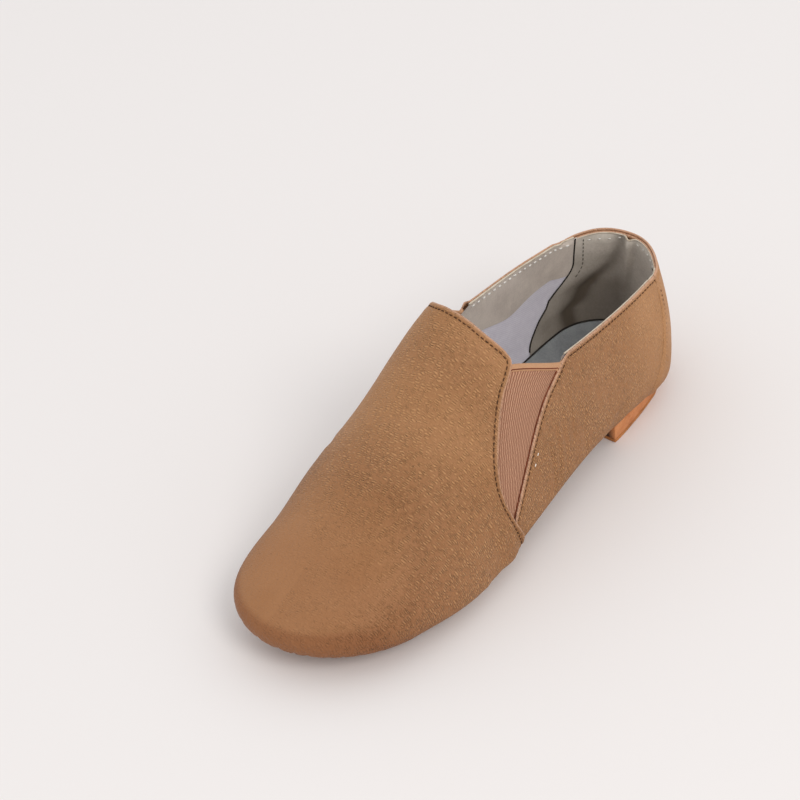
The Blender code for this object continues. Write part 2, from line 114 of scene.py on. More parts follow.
def smoothCurve(places, values, levelEnds=False):
    # cubic through the points; works on one number or an array
    places, values = np.array(places, float), np.array(values, float)
    runs = np.diff(places)
    slopes = np.diff(values) / runs
    count = len(places)
    matrix, right = np.zeros((count, count)), np.zeros(count)
    for row in range(1, count - 1):
        matrix[row, row - 1:row + 2] = runs[row - 1], 2 * (runs[row - 1] + runs[row]), runs[row]
        right[row] = 6 * (slopes[row] - slopes[row - 1])
    matrix[0, 0] = matrix[-1, -1] = 2.0
    if levelEnds:
        matrix[0, :2] = 2 * runs[0], runs[0]
        matrix[-1, -2:] = runs[-1], 2 * runs[-1]
        right[0], right[-1] = 6 * slopes[0], -6 * slopes[-1]
    bends = np.linalg.solve(matrix, right)

    def valueAt(place):
        place = np.asarray(place, float)
        piece = np.clip(np.searchsorted(places, place) - 1, 0, count - 2)
        run = runs[piece]
        back = (places[piece + 1] - place) / run
        ahead = 1 - back
        bent = (back ** 3 - back) * bends[piece] + (ahead ** 3 - ahead) * bends[piece + 1]
        return back * values[piece] + ahead * values[piece + 1] + bent * run * run / 6
    return valueAt


def columnOf(rows, index, scale=1.0):
    return [row[index] * scale for row in rows]


heelRadius = lastSizes["heelWidth"] * widthRows[0][1]
toeRadius = lastSizes["ballWidth"] * widthRows[-1][2]
toeCentre = lastSizes["length"] - heelRadius - toeRadius
ballSeat = lastSizes["outsole"] + lastSizes["gap"] + lastSizes["vampWall"]
heelSeat = lastSizes["heelHeight"] + lastSizes["gap"] + lastSizes["vampWall"]


def along(station):
    # metres round the last's edge from the back of the heel
    station = np.asarray(station, float)
    return (np.minimum(station, 1) * heelRadius * pi / 2 + np.clip(station - 1, 0, 1) * toeCentre
            + np.maximum(station - 2, 0) * toeRadius * pi / 2)


def sideCurves(heelIndex, ballIndex, widestIndex):
    widths = [lastSizes["heelWidth"] * row[heelIndex] + lastSizes["ballWidth"] * row[ballIndex]
              for row in widthRows]
    widthPlaces, ribPlaces = along(columnOf(widthRows, 0)), along(columnOf(ribRows, 0))
    return {
        "halfWidth": smoothCurve(widthPlaces, widths, True),
        "widest": smoothCurve(ribPlaces, columnOf(ribRows, widestIndex, lastSizes["widestHeight"]), True),
        "above": smoothCurve(ribPlaces, columnOf(ribRows, 3), True),
        "below": smoothCurve(ribPlaces, columnOf(ribRows, 4), True),
        "collar": smoothCurve(columnOf(collarRows, 0),
                              columnOf(collarRows, widestIndex, lastSizes["collarHeight"])),
    }


curves = {1: sideCurves(1, 2, 1), -1: sideCurves(3, 4, 2)}
ridgeHeight = smoothCurve(columnOf(ridgeRows, 0, lastSizes["length"]),
                          columnOf(ridgeRows, 1, lastSizes["instepHeight"]))
bottomHeight = smoothCurve(
    columnOf(bottomRows, 0, lastSizes["length"]),
    [row[1] * heelSeat + row[2] * ballSeat + row[3] * lastSizes["archLift"]
     + row[4] * lastSizes["toeSpring"] for row in bottomRows])
vampEdgeAt = smoothCurve(columnOf(vampEdgeRows, 0, lastSizes["instepHeight"]),
                         [1 + row[1] * lastSizes["length"] / toeCentre for row in vampEdgeRows])
frontShareAt = smoothCurve(columnOf(frontRows, 0), columnOf(frontRows, 1))
counterEdgeAt = smoothCurve(columnOf(counterRows, 0, lastSizes["collarHeight"]),
                            columnOf(counterRows, 1))


def pickSide(side, outer, inner):
    return np.where(side > 0, outer, inner)


def lastPoints(side, station, turn):
    side, station, turn = np.broadcast_arrays(np.asarray(side, float), station, turn)
    place = along(station)
    fullness = np.where(turn >= 0, curves[1]["above"](place), curves[1]["below"](place))
    halfWidth = pickSide(side, curves[1]["halfWidth"](place), curves[-1]["halfWidth"](place))
    widest = pickSide(side, curves[1]["widest"](place), curves[-1]["widest"](place))
    power = 2 / fullness
    angle = np.abs(turn) * pi / 2
    reach = halfWidth * np.maximum(np.cos(angle), 0) ** power
    rise = np.sin(angle) ** power
    heading = pi / 2 + (1 - np.minimum(station, 1)) * pi / 2 - np.maximum(station - 2, 0) * pi / 2
    x = np.clip(station - 1, 0, 1) * toeCentre + reach * np.cos(heading)
    y = side * reach * np.sin(heading)
    limit = np.where(turn >= 0, ridgeHeight(x), bottomHeight(x))
    return np.stack((x, y, widest + (limit - widest) * rise), axis=-1)


def unit(vectors):
    return vectors / np.maximum(np.linalg.norm(vectors, axis=-1, keepdims=True), 1e-12)


nearPole = 0.985  # past this turn the normal leans over to the ridge's or the underside's own
nearSeam = 0.02  # stations over which the normal turns square to the plane of symmetry
nudge = 0.003  # of a station or a turn, to measure a slope
kernelReach = 6  # places on each side that even out a step beside an edge


def lastNormals(side, station, turn, step=0.0015):
    side, station, turn = np.broadcast_arrays(np.asarray(side, float), station, turn)
    inner = np.clip(turn, -nearPole, nearPole)
    up = lastPoints(side, station, inner + step) - lastPoints(side, station, inner - step)
    ahead = (lastPoints(side, np.minimum(station + step, 3), inner)
             - lastPoints(side, np.maximum(station - step, 0), inner))
    normals = unit(np.cross(up, ahead) * side[..., None])
    x = lastPoints(side, station, turn)[..., 0]
    slopeUp = (ridgeHeight(x + mm) - ridgeHeight(x - mm)) / (2 * mm)
    slopeDown = (bottomHeight(x + mm) - bottomHeight(x - mm)) / (2 * mm)
    none = np.zeros_like(x)
    ridge = np.stack((-slopeUp, none, none + 1), axis=-1)
    sole = np.stack((slopeDown, none, none - 1), axis=-1)
    pole = np.clip((np.abs(turn) - nearPole) / (1 - nearPole), 0, 1)[..., None]
    normals = normals * (1 - pole) + unit(np.where(turn[..., None] > 0, ridge, sole)) * pole
    seam = np.clip(np.minimum(station, 3 - station) / nearSeam, 0, 1)
    normals[..., 1] *= seam
    return unit(normals)


def shell(side, station, turn, lift):
    # the last's surface, raised by a distance in metres away from the foot
    lift = np.asarray(lift, float)
    return lastPoints(side, station, turn) + lastNormals(side, station, turn) * lift[..., None]


def settledStation(edgeAt, side, turn, guess):
    # where a line of turns meets an edge that is given as a station for each height
    station = edgeAt(lastPoints(side, guess, turn)[..., 2])
    for _ in range(60):
        station = station + 0.5 * (edgeAt(lastPoints(side, station, turn)[..., 2]) - station)
    return station


def vampStation(side, turn):
    trim = np.interp(turn, columnOf(vampTrimRows, 0), columnOf(vampTrimRows, 1 if side > 0 else 2))
    return settledStation(vampEdgeAt, side, turn, 1.5) - trim


def counterStation(side, turn):
    return settledStation(counterEdgeAt, side, turn, 1.0)


def turnAtHeight(side, station, height):
    low, high = np.zeros_like(station), np.ones_like(station)
    for _ in range(30):
        middle = (low + high) / 2
        below = lastPoints(side, station, middle)[..., 2] < height
        low, high = np.where(below, middle, low), np.where(below, high, middle)
    return (low + high) / 2


cornerStations = {1: collarRows[-1][0], -1: collarRows[-1][0] - 0.025}
tipStations = {side: float(vampStation(side, goreTurns["tip"])) for side in (1, -1)}
tipHeights = {side: float(lastPoints(side, tipStations[side], goreTurns["tip"])[2]) for side in (1, -1)}


def topTurn(side, station):
    # turn of the quarter's top edge: the collar, then its front edge down to the gore's tip
    station = np.asarray(station, float)
    collar, cornerStation = curves[side]["collar"], cornerStations[side]
    run = np.clip((station - cornerStation) / (tipStations[side] - cornerStation), 0, 1)
    cornerHeight = collar(cornerStation)
    front = tipHeights[side] + (cornerHeight - tipHeights[side]) * frontShareAt(run)
    height = np.where(station <= cornerStation, collar(np.minimum(station, cornerStation)), front)
    return turnAtHeight(side, station, height)


def squareSteps(side, stations, turns, smoothing=2.0):
    # for each place on an edge, the station and turn that one metre square to it, forwards, adds
    held = np.clip(turns, -nearPole, nearPole - 0.005)
    fromRidge = np.clip((1 - turns) / 0.06, 0, 1)
    points = lastPoints(side, stations, held)
    tangent = unit(np.gradient(lastPoints(side, stations, turns), axis=0))
    perStation = (lastPoints(side, stations + nudge, held) - points) / nudge
    perTurn = (lastPoints(side, stations, held + nudge) - points) / nudge
    square = unit(np.cross(lastNormals(side, stations, held), tangent))
    square = square * np.sign((square * perStation).sum(-1, keepdims=True))
    aa, ab, bb = (perStation ** 2).sum(-1), (perStation * perTurn).sum(-1), (perTurn ** 2).sum(-1)
    ra, rb = (square * perStation).sum(-1), (square * perTurn).sum(-1)
    whole = aa * bb - ab * ab
    kernel = np.exp(-(np.arange(-kernelReach, kernelReach + 1) / smoothing) ** 2)
    found = []
    for value in ((ra * bb - rb * ab) / whole, (rb * aa - ra * ab) / whole * fromRidge):
        lengthened = np.pad(value, kernelReach, "edge")
        found.append(np.convolve(lengthened, kernel / kernel.sum(), "valid"))
    found[1] = found[1] * fromRidge
    return found


def besideEdge(side, stations, turns, distances, squareReach=2.4 * mm):
    # places at distances in front of an edge: square to it at first, then along the shoe
    stationStep, turnStep = squareSteps(side, stations, turns)
    ahead = lastPoints(side, stations + nudge, turns) - lastPoints(side, stations, turns)
    perStation = np.linalg.norm(ahead, axis=-1) / nudge
    near = np.minimum(distances, squareReach)[:, None]
    far = np.maximum(distances - squareReach, 0)[:, None]
    return stations + stationStep * near + far / perStation, turns + turnStep * near


def bump(value, centre, width):
    return np.exp(-((value - centre) / width) ** 2)


def fade(value, noneAt, fullAt):
    return np.clip((value - noneAt) / (fullAt - noneAt), 0, 1)


# Meshes. A piece starts as a bmesh grid, and its points are then laid on the last.
def runLengths(points):
    # metres along a line from its first point to each of its points
    return np.concatenate(([0], np.cumsum(np.linalg.norm(np.diff(points, axis=0), axis=1))))


def edgeProfile(sizes):
    # Across a folded leather edge, from its turned-under side round the nose and onto the face:
    # distance from the edge, lift above the face, and how much of the pink painted highlight it has, most on
    # the nose.
    thickness, stitchAt, reach = sizes["thickness"], sizes["stitchAt"], sizes["foldReach"]
    radius, spacing = thickness / 2, sizes["spacing"]
    rows = [(reach, -thickness, 0.2), (reach * 0.5, -thickness, 0.2), (2 * radius, -thickness, 0.4)]
    for step in range(9):
        angle = pi / 2 + pi * step / 8
        rows.append((radius + radius * cos(angle), -radius - radius * sin(angle), 1.0))
    distance = radius + 0.25 * mm
    while distance < reach + spacing:
        bulge = 0.20 * mm * bump(distance, 0.55 * stitchAt, 0.3 * stitchAt)
        groove = 0.36 * mm * bump(distance, stitchAt, 0.45 * mm)
        swell = 0.14 * mm * bump(distance, stitchAt + 1.6 * mm, 1.0 * mm)
        rows.append((distance, bulge - groove + swell, float(bump(distance, 0, 0.75 * mm))))
        distance += min(spacing, 0.25 * mm + 0.2 * max(distance - stitchAt, 0))
    return np.array(rows)


def padded(profile, count):
    # a fold's lift and painted highlight, and none past it
    return np.pad(profile[:, 1:], ((0, count - len(profile)), (0, 0))).T


def ridgeDistance(side, station, turn, samples=60):
    # metres along the rib from the ridge, signed by side: the UV map's second coordinate
    turns = turn[..., None] + (1 - turn[..., None]) * np.linspace(0, 1, samples)
    points = lastPoints(side, station[..., None] + 0 * turns, turns)
    return np.linalg.norm(np.diff(points, axis=-2), axis=-1).sum(-1)


def uvAt(side, stations, turns):
    return np.stack((along(stations), side * ridgeDistance(side, stations, turns)), axis=-1)


def layRib(side, ribStations, ribTurns, near, rows):
    # stations and turns down a rib: the fold's rows, then even steps to its foot
    lengths = runLengths(lastPoints(side, ribStations, ribTurns))
    far = near[-1] + (lengths[-1] - near[-1]) * np.linspace(0, 1, rows + 1)[1:]
    steps = np.concatenate((near, far))
    return np.interp(steps, lengths, ribStations + 0 * ribTurns), np.interp(steps, lengths, ribTurns)


def stationsBetween(start, end, count):
    # stations at even distances along the last's edge
    table = np.linspace(0, 2, 400)
    return np.interp(np.linspace(float(along(start)), float(along(end)), count), along(table), table)


def edgeSlant(side, stations, tops):
    # how far an edge leans from square to the ribs, and the metres that a turn adds below it
    points = lastPoints(side, stations, tops)
    tangent = unit(np.gradient(points, axis=0))
    down = lastPoints(side, stations, tops - 0.01) - points
    slant = np.maximum(np.linalg.norm(np.cross(tangent, unit(down)), axis=-1), 0.3)
    return slant, np.linalg.norm(down, axis=-1) / 0.01


def layGrid(places, uv=None, marks=None, inward=False):
    # places is columns by rows of points; marks are named numbers for each point
    columns, rows = places.shape[:2]
    bm = bmesh.new()
    uvLayer = bm.loops.layers.uv.new("UVMap")
    bmesh.ops.create_grid(bm, x_segments=columns - 1, y_segments=rows - 1, size=0.5, calc_uvs=False)
    markLayers = {mark: bm.verts.layers.float.new(mark) for mark in (marks or {})}
    index = {}
    for vert in bm.verts:
        column, row = round((vert.co.x + 0.5) * (columns - 1)), round((vert.co.y + 0.5) * (rows - 1))
        index[vert] = column, row
        vert.co = places[column, row]
        for mark, layer in markLayers.items():
            vert[layer] = float(marks[mark][column, row])
    if uv is not None:
        for face in bm.faces:
            for loop in face.loops:
                loop[uvLayer].uv = uv[index[loop.vert]]
    bmesh.ops.remove_doubles(bm, verts=bm.verts, dist=0.01 * mm)
    bm.normal_update()
    axis = Vector((0, 0, lastSizes["widestHeight"]))
    outwards = 0
    for face in bm.faces:
        middle = face.calc_center_median()
        outwards += face.normal.dot(Vector((0, middle.y, middle.z)) - axis) * face.calc_area()
    if (outwards < 0) != inward:
        bmesh.ops.reverse_faces(bm, faces=bm.faces)
    return bm


def finishPiece(name, bm, material, stands=None):
    mesh = bpy.data.meshes.new(name)
    bm.to_mesh(mesh)
    bm.free()
    mesh.materials.append(material)
    mesh.shade_smooth()
    piece = bpy.data.objects.new(name, mesh)
    bpy.context.scene.collection.objects.link(piece)
    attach(piece, "root")
    if stands:
        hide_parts(stands)
    return piece


# Materials
def colour(hexCode, alpha=1.0):
    # sRGB hex to linear
    channels = [int(hexCode[i:i + 2], 16) / 255 for i in (0, 2, 4)]
    return [c / 12.92 if c <= 0.04045 else ((c + 0.055) / 1.055) ** 2.4 for c in channels] + [alpha]


def addNode(tree, kind, settings=None, links=None):
    node = tree.nodes.new(kind)
    for key, value in (settings or {}).items():
        if isinstance(key, int) or key in node.inputs:
            node.inputs[key].default_value = value
        else:
            setattr(node, key, value)
    for key, source in (links or {}).items():
        tree.links.new(source, node.inputs[key])
    return node


def newMaterial(name):
    material = bpy.data.materials.new(name)
    material.use_nodes = True
    return material, material.node_tree, material.node_tree.nodes["Principled BSDF"]


def finishShader(tree, shader, skin, normal, roughness, specular):
    tree.links.new(skin, shader.inputs["Base Color"])
    tree.links.new(normal, shader.inputs["Normal"])
    shader.inputs["Roughness"].default_value = roughness
    shader.inputs["Specular IOR Level"].default_value = specular


# colours: tan and deep are the leather's own tones; shade, valley and pore are painted shade, pink a painted
# highlight on fold noses
leatherLook = {
    "tan": "BE8C5F", "deep": "B28052", "pink": "CB9E80", "shade": "87532D", "valley": "80502C",
    "pore": "704A2A", "pebbleMm": 0.85, "creaseMm": (0.80, 2.7, 2.7), "creaseTilt": 0.26,
    "swellMm": 8.0, "patchMm": 34, "poreMm": 3.1, "driftMm": 3.0, "warpMm": 1.1, "valleyShare": 0.62,
    "roughness": 0.58, "specular": 0.36, "refraction": 1.48,
    # strength, depth in mm
    "bumps": {"swell": (0.5, 1.2), "pebble": (0.9, 0.26), "crest": (1.0, 0.44), "pore": (0.7, 0.2)},
}


def makeLeather():
    # Thin milled goat nappa, drum dyed: round pebbled grain, short wavy lines across the foot that
    # deepen where it flexes, small open pores, and a waxy half shine.
    look = leatherLook
    material, tree, shader = newMaterial("tanNappaLeather")
    place = addNode(tree, "ShaderNodeTexCoord").outputs["Object"]
    flex, edge, shade = (addNode(tree, "ShaderNodeAttribute", {"attribute_name": mark}).outputs["Fac"]
                         for mark in ("flex", "edge", "shade"))
    drift = addNode(tree, "ShaderNodeTexNoise", {"Scale": 1000 / look["driftMm"], "Detail": 2.0},
                    {"Vector": place}).outputs["Color"]
    warped = addNode(tree, "ShaderNodeVectorMath", {
        "operation": "MULTIPLY_ADD", 1: (look["warpMm"] * mm,) * 3}, {0: drift, 2: place}).outputs["Vector"]
    stretched = addNode(tree, "ShaderNodeMapping", {
        "vector_type": "TEXTURE", "Rotation": (0, look["creaseTilt"], 0),
        "Scale": [size * mm for size in look["creaseMm"]]}, {"Vector": warped}).outputs["Vector"]
    lines = addNode(tree, "ShaderNodeTexVoronoi", {"Scale": 1.0, "feature": "DISTANCE_TO_EDGE",
                    "Randomness": 0.7}, {"Vector": stretched}).outputs["Distance"]
    crest = addNode(tree, "ShaderNodeMapRange", {"From Min": 0.0, "From Max": 0.36,
                    "interpolation_type": "SMOOTHSTEP"}, {"Value": lines}).outputs["Result"]
    crestRise = addNode(tree, "ShaderNodeMath", {"operation": "MULTIPLY"},
                        {0: crest, 1: flex}).outputs["Value"]
    pebble = addNode(tree, "ShaderNodeTexVoronoi", {"Scale": 1000 / look["pebbleMm"], "feature": "SMOOTH_F1",
                     "Smoothness": 0.5}, {"Vector": warped}).outputs["Distance"]
    swell = addNode(tree, "ShaderNodeTexNoise", {"Scale": 1000 / look["swellMm"], "Detail": 2.0},
                    {"Vector": place}).outputs["Fac"]
    patches = addNode(tree, "ShaderNodeTexNoise", {"Scale": 1000 / look["patchMm"], "Detail": 3.0},
                      {"Vector": place}).outputs["Fac"]
    pores = addNode(tree, "ShaderNodeTexVoronoi", {"Scale": 1000 / look["poreMm"]},
                    {"Vector": place}).outputs["Distance"]
    pore = addNode(tree, "ShaderNodeMapRange", {"From Min": 0.03, "From Max": 0.08, "To Min": 0.7,
                   "To Max": 0.0}, {"Value": pores}).outputs["Result"]
    tone = addNode(tree, "ShaderNodeMapRange", {"From Min": 0.35, "From Max": 0.68},
                   {"Value": patches}).outputs["Result"]
    hollow = addNode(tree, "ShaderNodeMath", {"operation": "SUBTRACT", 0: 1.0}, {1: crest}).outputs["Value"]
    lined = addNode(tree, "ShaderNodeMath", {"operation": "MULTIPLY"}, {0: hollow, 1: flex}).outputs["Value"]
    valley = addNode(tree, "ShaderNodeMath", {"operation": "MULTIPLY", 1: look["valleyShare"]},
                     {0: lined}).outputs["Value"]
    skin = addNode(tree, "ShaderNodeMix", {"data_type": "RGBA", 6: colour(look["tan"]),
                   7: colour(look["deep"])}, {0: tone}).outputs[2]
    # mix in the painted colours: painted shade in the crease valleys and pores, the shade mark's painted
    # shade, and the pink painted highlight on fold noses
    for share, name in ((valley, "valley"), (pore, "pore"), (shade, "shade"), (edge, "pink")):
        skin = addNode(tree, "ShaderNodeMix", {"data_type": "RGBA", 7: colour(look[name])},
                       {0: share, 6: skin}).outputs[2]
    normal = None
    for name, height in (("swell", swell), ("pebble", pebble), ("crest", crestRise), ("pore", pore)):
        strength, depthMm = look["bumps"][name]
        settings = {"Strength": strength, "Distance": depthMm * mm, "invert": name in ("pebble", "pore")}
        links = {"Height": height} if normal is None else {"Height": height, "Normal": normal}
        normal = addNode(tree, "ShaderNodeBump", settings, links).outputs["Normal"]
    finishShader(tree, shader, skin, normal, look["roughness"], look["specular"])
    shader.inputs["IOR"].default_value = look["refraction"]
    return material


elasticLook = {"light": "CB9B7F", "dark": "936349", "ribMm": 1.32, "stepMm": 2.6, "looseMm": 1.5}


def makeElastic():
    # Knitted rubber webbing: soft columns of loops that waver, light on top and red-brown between.
    look = elasticLook
    material, tree, shader = newMaterial("ribbedElasticWebbing")
    place = addNode(tree, "ShaderNodeTexCoord")
    parts = addNode(tree, "ShaderNodeSeparateXYZ", links={0: place.outputs["UV"]})
    wobble = addNode(tree, "ShaderNodeMath", {"operation": "MULTIPLY", 1: 2 * pi * 1000 / look["stepMm"]},
                     {0: parts.outputs["Y"]}).outputs["Value"]
    sway = addNode(tree, "ShaderNodeMath", {"operation": "SINE"}, {0: wobble}).outputs["Value"]
    shift = addNode(tree, "ShaderNodeMath", {"operation": "MULTIPLY", 1: 0.5}, {0: sway}).outputs["Value"]
    across = addNode(tree, "ShaderNodeMath", {"operation": "MULTIPLY_ADD", 1: 2 * pi * 1000 / look["ribMm"]},
                     {0: parts.outputs["X"], 2: shift}).outputs["Value"]
    noise = addNode(tree, "ShaderNodeTexNoise", {"Scale": 1000 / look["looseMm"], "Detail": 3.0},
                    {"Vector": place.outputs["Object"]}).outputs["Fac"]
    loose = addNode(tree, "ShaderNodeMath", {"operation": "MULTIPLY_ADD", 1: 3.6},
                    {0: noise, 2: across}).outputs["Value"]
    rib = addNode(tree, "ShaderNodeMath", {"operation": "SINE"}, {0: loose}).outputs["Value"]
    rise = addNode(tree, "ShaderNodeMapRange", {"From Min": -1.0, "From Max": 1.0},
                   {"Value": rib}).outputs["Result"]
    skin = addNode(tree, "ShaderNodeMix", {"data_type": "RGBA", 6: colour(look["dark"]),
                   7: colour(look["light"])}, {0: rise}).outputs[2]
    raised = addNode(tree, "ShaderNodeBump", {"Strength": 0.9, "Distance": 0.4 * mm},
                     {"Height": rise}).outputs["Normal"]
    finishShader(tree, shader, skin, raised, 0.92, 0.2)
    return material


def makeGrained(name, light, dark, patchMm, grainMm, depthMm, roughness, front=None, paintedShade=None):
    # a matt material with soft patches and a fine even grain; front is the colour of a painted shadow on what
    # faces the toe near the middle, and the last colour is painted shade where the piece's shade mark picks
    # it out
    material, tree, shader = newMaterial(name)
    place = addNode(tree, "ShaderNodeTexCoord")
    patches = addNode(tree, "ShaderNodeTexNoise", {"Scale": 1000 / patchMm, "Detail": 4.0},
                      {"Vector": place.outputs["Object"]}).outputs["Fac"]
    grain = addNode(tree, "ShaderNodeTexNoise", {"Scale": 1000 / grainMm, "Detail": 2.0},
                    {"Vector": place.outputs["Object"]}).outputs["Fac"]
    blend = addNode(tree, "ShaderNodeMath", {"operation": "MULTIPLY_ADD", 1: 0.5},
                    {0: grain, 2: patches}).outputs["Value"]
    tone = addNode(tree, "ShaderNodeMapRange", {"From Min": 0.55, "From Max": 0.95},
                   {"Value": blend}).outputs["Result"]
    skin = addNode(tree, "ShaderNodeMix", {"data_type": "RGBA", 6: colour(light), 7: colour(dark)},
                   {0: tone}).outputs[2]
    raised = addNode(tree, "ShaderNodeBump", {"Strength": 0.6, "Distance": depthMm * mm},
                     {"Height": grain}).outputs["Normal"]
    # painted shadow on faces towards the toe within the heel's middle: the breast under the arch
    if front:
        facing = addNode(tree, "ShaderNodeSeparateXYZ", links={0: place.outputs["Normal"]})
        ahead = addNode(tree, "ShaderNodeMapRange", {"From Min": 0.6, "From Max": 0.85},
                        {"Value": facing.outputs["X"]}).outputs["Result"]
        parts = addNode(tree, "ShaderNodeSeparateXYZ", links={0: place.outputs["Object"]})
        fromMiddle = addNode(tree, "ShaderNodeMath", {"operation": "ABSOLUTE"}, {0: parts.outputs["Y"]})
        inside = addNode(tree, "ShaderNodeMapRange", {"From Min": 0.0275, "From Max": 0.0245},
                         {"Value": fromMiddle.outputs["Value"]}).outputs["Result"]
        share = addNode(tree, "ShaderNodeMath", {"operation": "MULTIPLY"}, {0: ahead, 1: inside})
        skin = addNode(tree, "ShaderNodeMix", {"data_type": "RGBA", 7: colour(front)},
                       {0: share.outputs["Value"], 6: skin}).outputs[2]
    # painted shade, mixed in by the piece's shade mark
    if paintedShade:
        mark = addNode(tree, "ShaderNodeAttribute", {"attribute_name": "shade"})
        skin = addNode(tree, "ShaderNodeMix", {"data_type": "RGBA", 7: colour(paintedShade)},
                       {0: mark.outputs["Fac"], 6: skin}).outputs[2]
    finishShader(tree, shader, skin, raised, roughness, 0.25)
    return material


cottonLook = {"light": "F2EEF5", "dark": "DCD6E0", "threadMm": 1.1, "slubMm": 2.5}


def makeCotton():
    # Plain-woven cotton backing, lavender grey: two crossing sets of threads, drawn coarse to show.
    look = cottonLook
    material, tree, shader = newMaterial("lavenderCottonLining")
    place = addNode(tree, "ShaderNodeTexCoord")
    parts = addNode(tree, "ShaderNodeSeparateXYZ", links={0: place.outputs["UV"]})
    threads = []
    for axis in ("X", "Y"):
        turns = addNode(tree, "ShaderNodeMath", {
            "operation": "MULTIPLY", 1: 2 * pi * 1000 / look["threadMm"]},
            {0: parts.outputs[axis]}).outputs["Value"]
        threads.append(addNode(tree, "ShaderNodeMath", {"operation": "SINE"}, {0: turns}).outputs["Value"])
    weave = addNode(tree, "ShaderNodeMath", {"operation": "MULTIPLY"},
                    {0: threads[0], 1: threads[1]}).outputs["Value"]
    slub = addNode(tree, "ShaderNodeTexNoise", {"Scale": 1000 / look["slubMm"], "Detail": 4.0},
                   {"Vector": place.outputs["Object"]}).outputs["Fac"]
    evened = addNode(tree, "ShaderNodeMath", {"operation": "MULTIPLY_ADD", 1: 0.4, 2: 0.3},
                     {0: slub}).outputs["Value"]
    mixed = addNode(tree, "ShaderNodeMath", {"operation": "MULTIPLY_ADD", 1: 0.16},
                    {0: weave, 2: evened}).outputs["Value"]
    tone = addNode(tree, "ShaderNodeMapRange", {"From Min": 0.3, "From Max": 0.75},
                   {"Value": mixed}).outputs["Result"]
    skin = addNode(tree, "ShaderNodeMix", {"data_type": "RGBA", 6: colour(look["dark"]),
                   7: colour(look["light"])}, {0: tone}).outputs[2]
    raised = addNode(tree, "ShaderNodeBump", {"Strength": 0.5, "Distance": 0.2 * mm},
                     {"Height": mixed}).outputs["Normal"]
    finishShader(tree, shader, skin, raised, 0.95, 0.15)
    return material


leather = makeLeather()
elastic = makeElastic()
cotton = makeCotton()
# pigskin split, shaved thin, buffed and dyed taupe
liningLeather = makeGrained("taupePigskinLining", "DED1C4", "CBBEB2", 9, 0.9, 0.12, 0.8)
# the same split, with painted shade low on the inner side and in the fold's hollow
heelLeather = makeGrained("taupeHeelLiningPaintedShade", "D0C6B9", "B8AEA1", 12, 0.9, 0.12, 0.85, paintedShade="5A5044")
# needled polyester felt on thin board
felt = makeGrained("greyInsoleFelt", "999C9C", "858889", 7, 0.7, 0.3, 0.97)
# cattle split, buffed to a nap
suede = makeGrained("brownSuedeSole", "8B6748", "6B4C34", 8, 0.6, 0.3, 0.97)
# pressed leather lifts, sanded and stained orange tan; the breast gets a painted shadow
stackedLeather = makeGrained("stackedLeatherHeel", "D08A58", "B8703F", 5, 0.8, 0.2, 0.6, front="3A2415")
# moulded rubber sheet, cut and sanded flush with the heel
rubber = makeGrained("brownRubberTopPiece", "BC7C4A", "A0683C", 6, 0.8, 0.2, 0.8)
# raw knife-cut edges in undyed skin, and dark lines along the heel lining's front and the insole's sides
creamEdge = makeGrained("creamCutEdge", "D9CDBB", "C2B29C", 4, 0.6, 0.1, 0.8)
darkEdge = makeGrained("darkEdgeLine", "37322C", "282420", 4, 0.6, 0.1, 0.9)
# painted shade: dark cords in the fold where webbing meets leather and in the binding's groove
seamBrown = makeGrained("shadedGoreSeam", "7A3E26", "5E2C1A", 4, 0.5, 0.1, 0.9)
# bonded polyester sewing threads, twisted and waxed
brownThread = makeGrained("darkBrownThread", "5E3A22", "48301C", 3, 0.4, 0.1, 0.7)
whiteThread = makeGrained("whiteLiningThread", "F6F3EC", "E6E2DA", 3, 0.4, 0.1, 0.7)
greyThread = makeGrained("greyLiningThread", "6B675C", "57534A", 3, 0.4, 0.1, 0.8)
print("materials made")


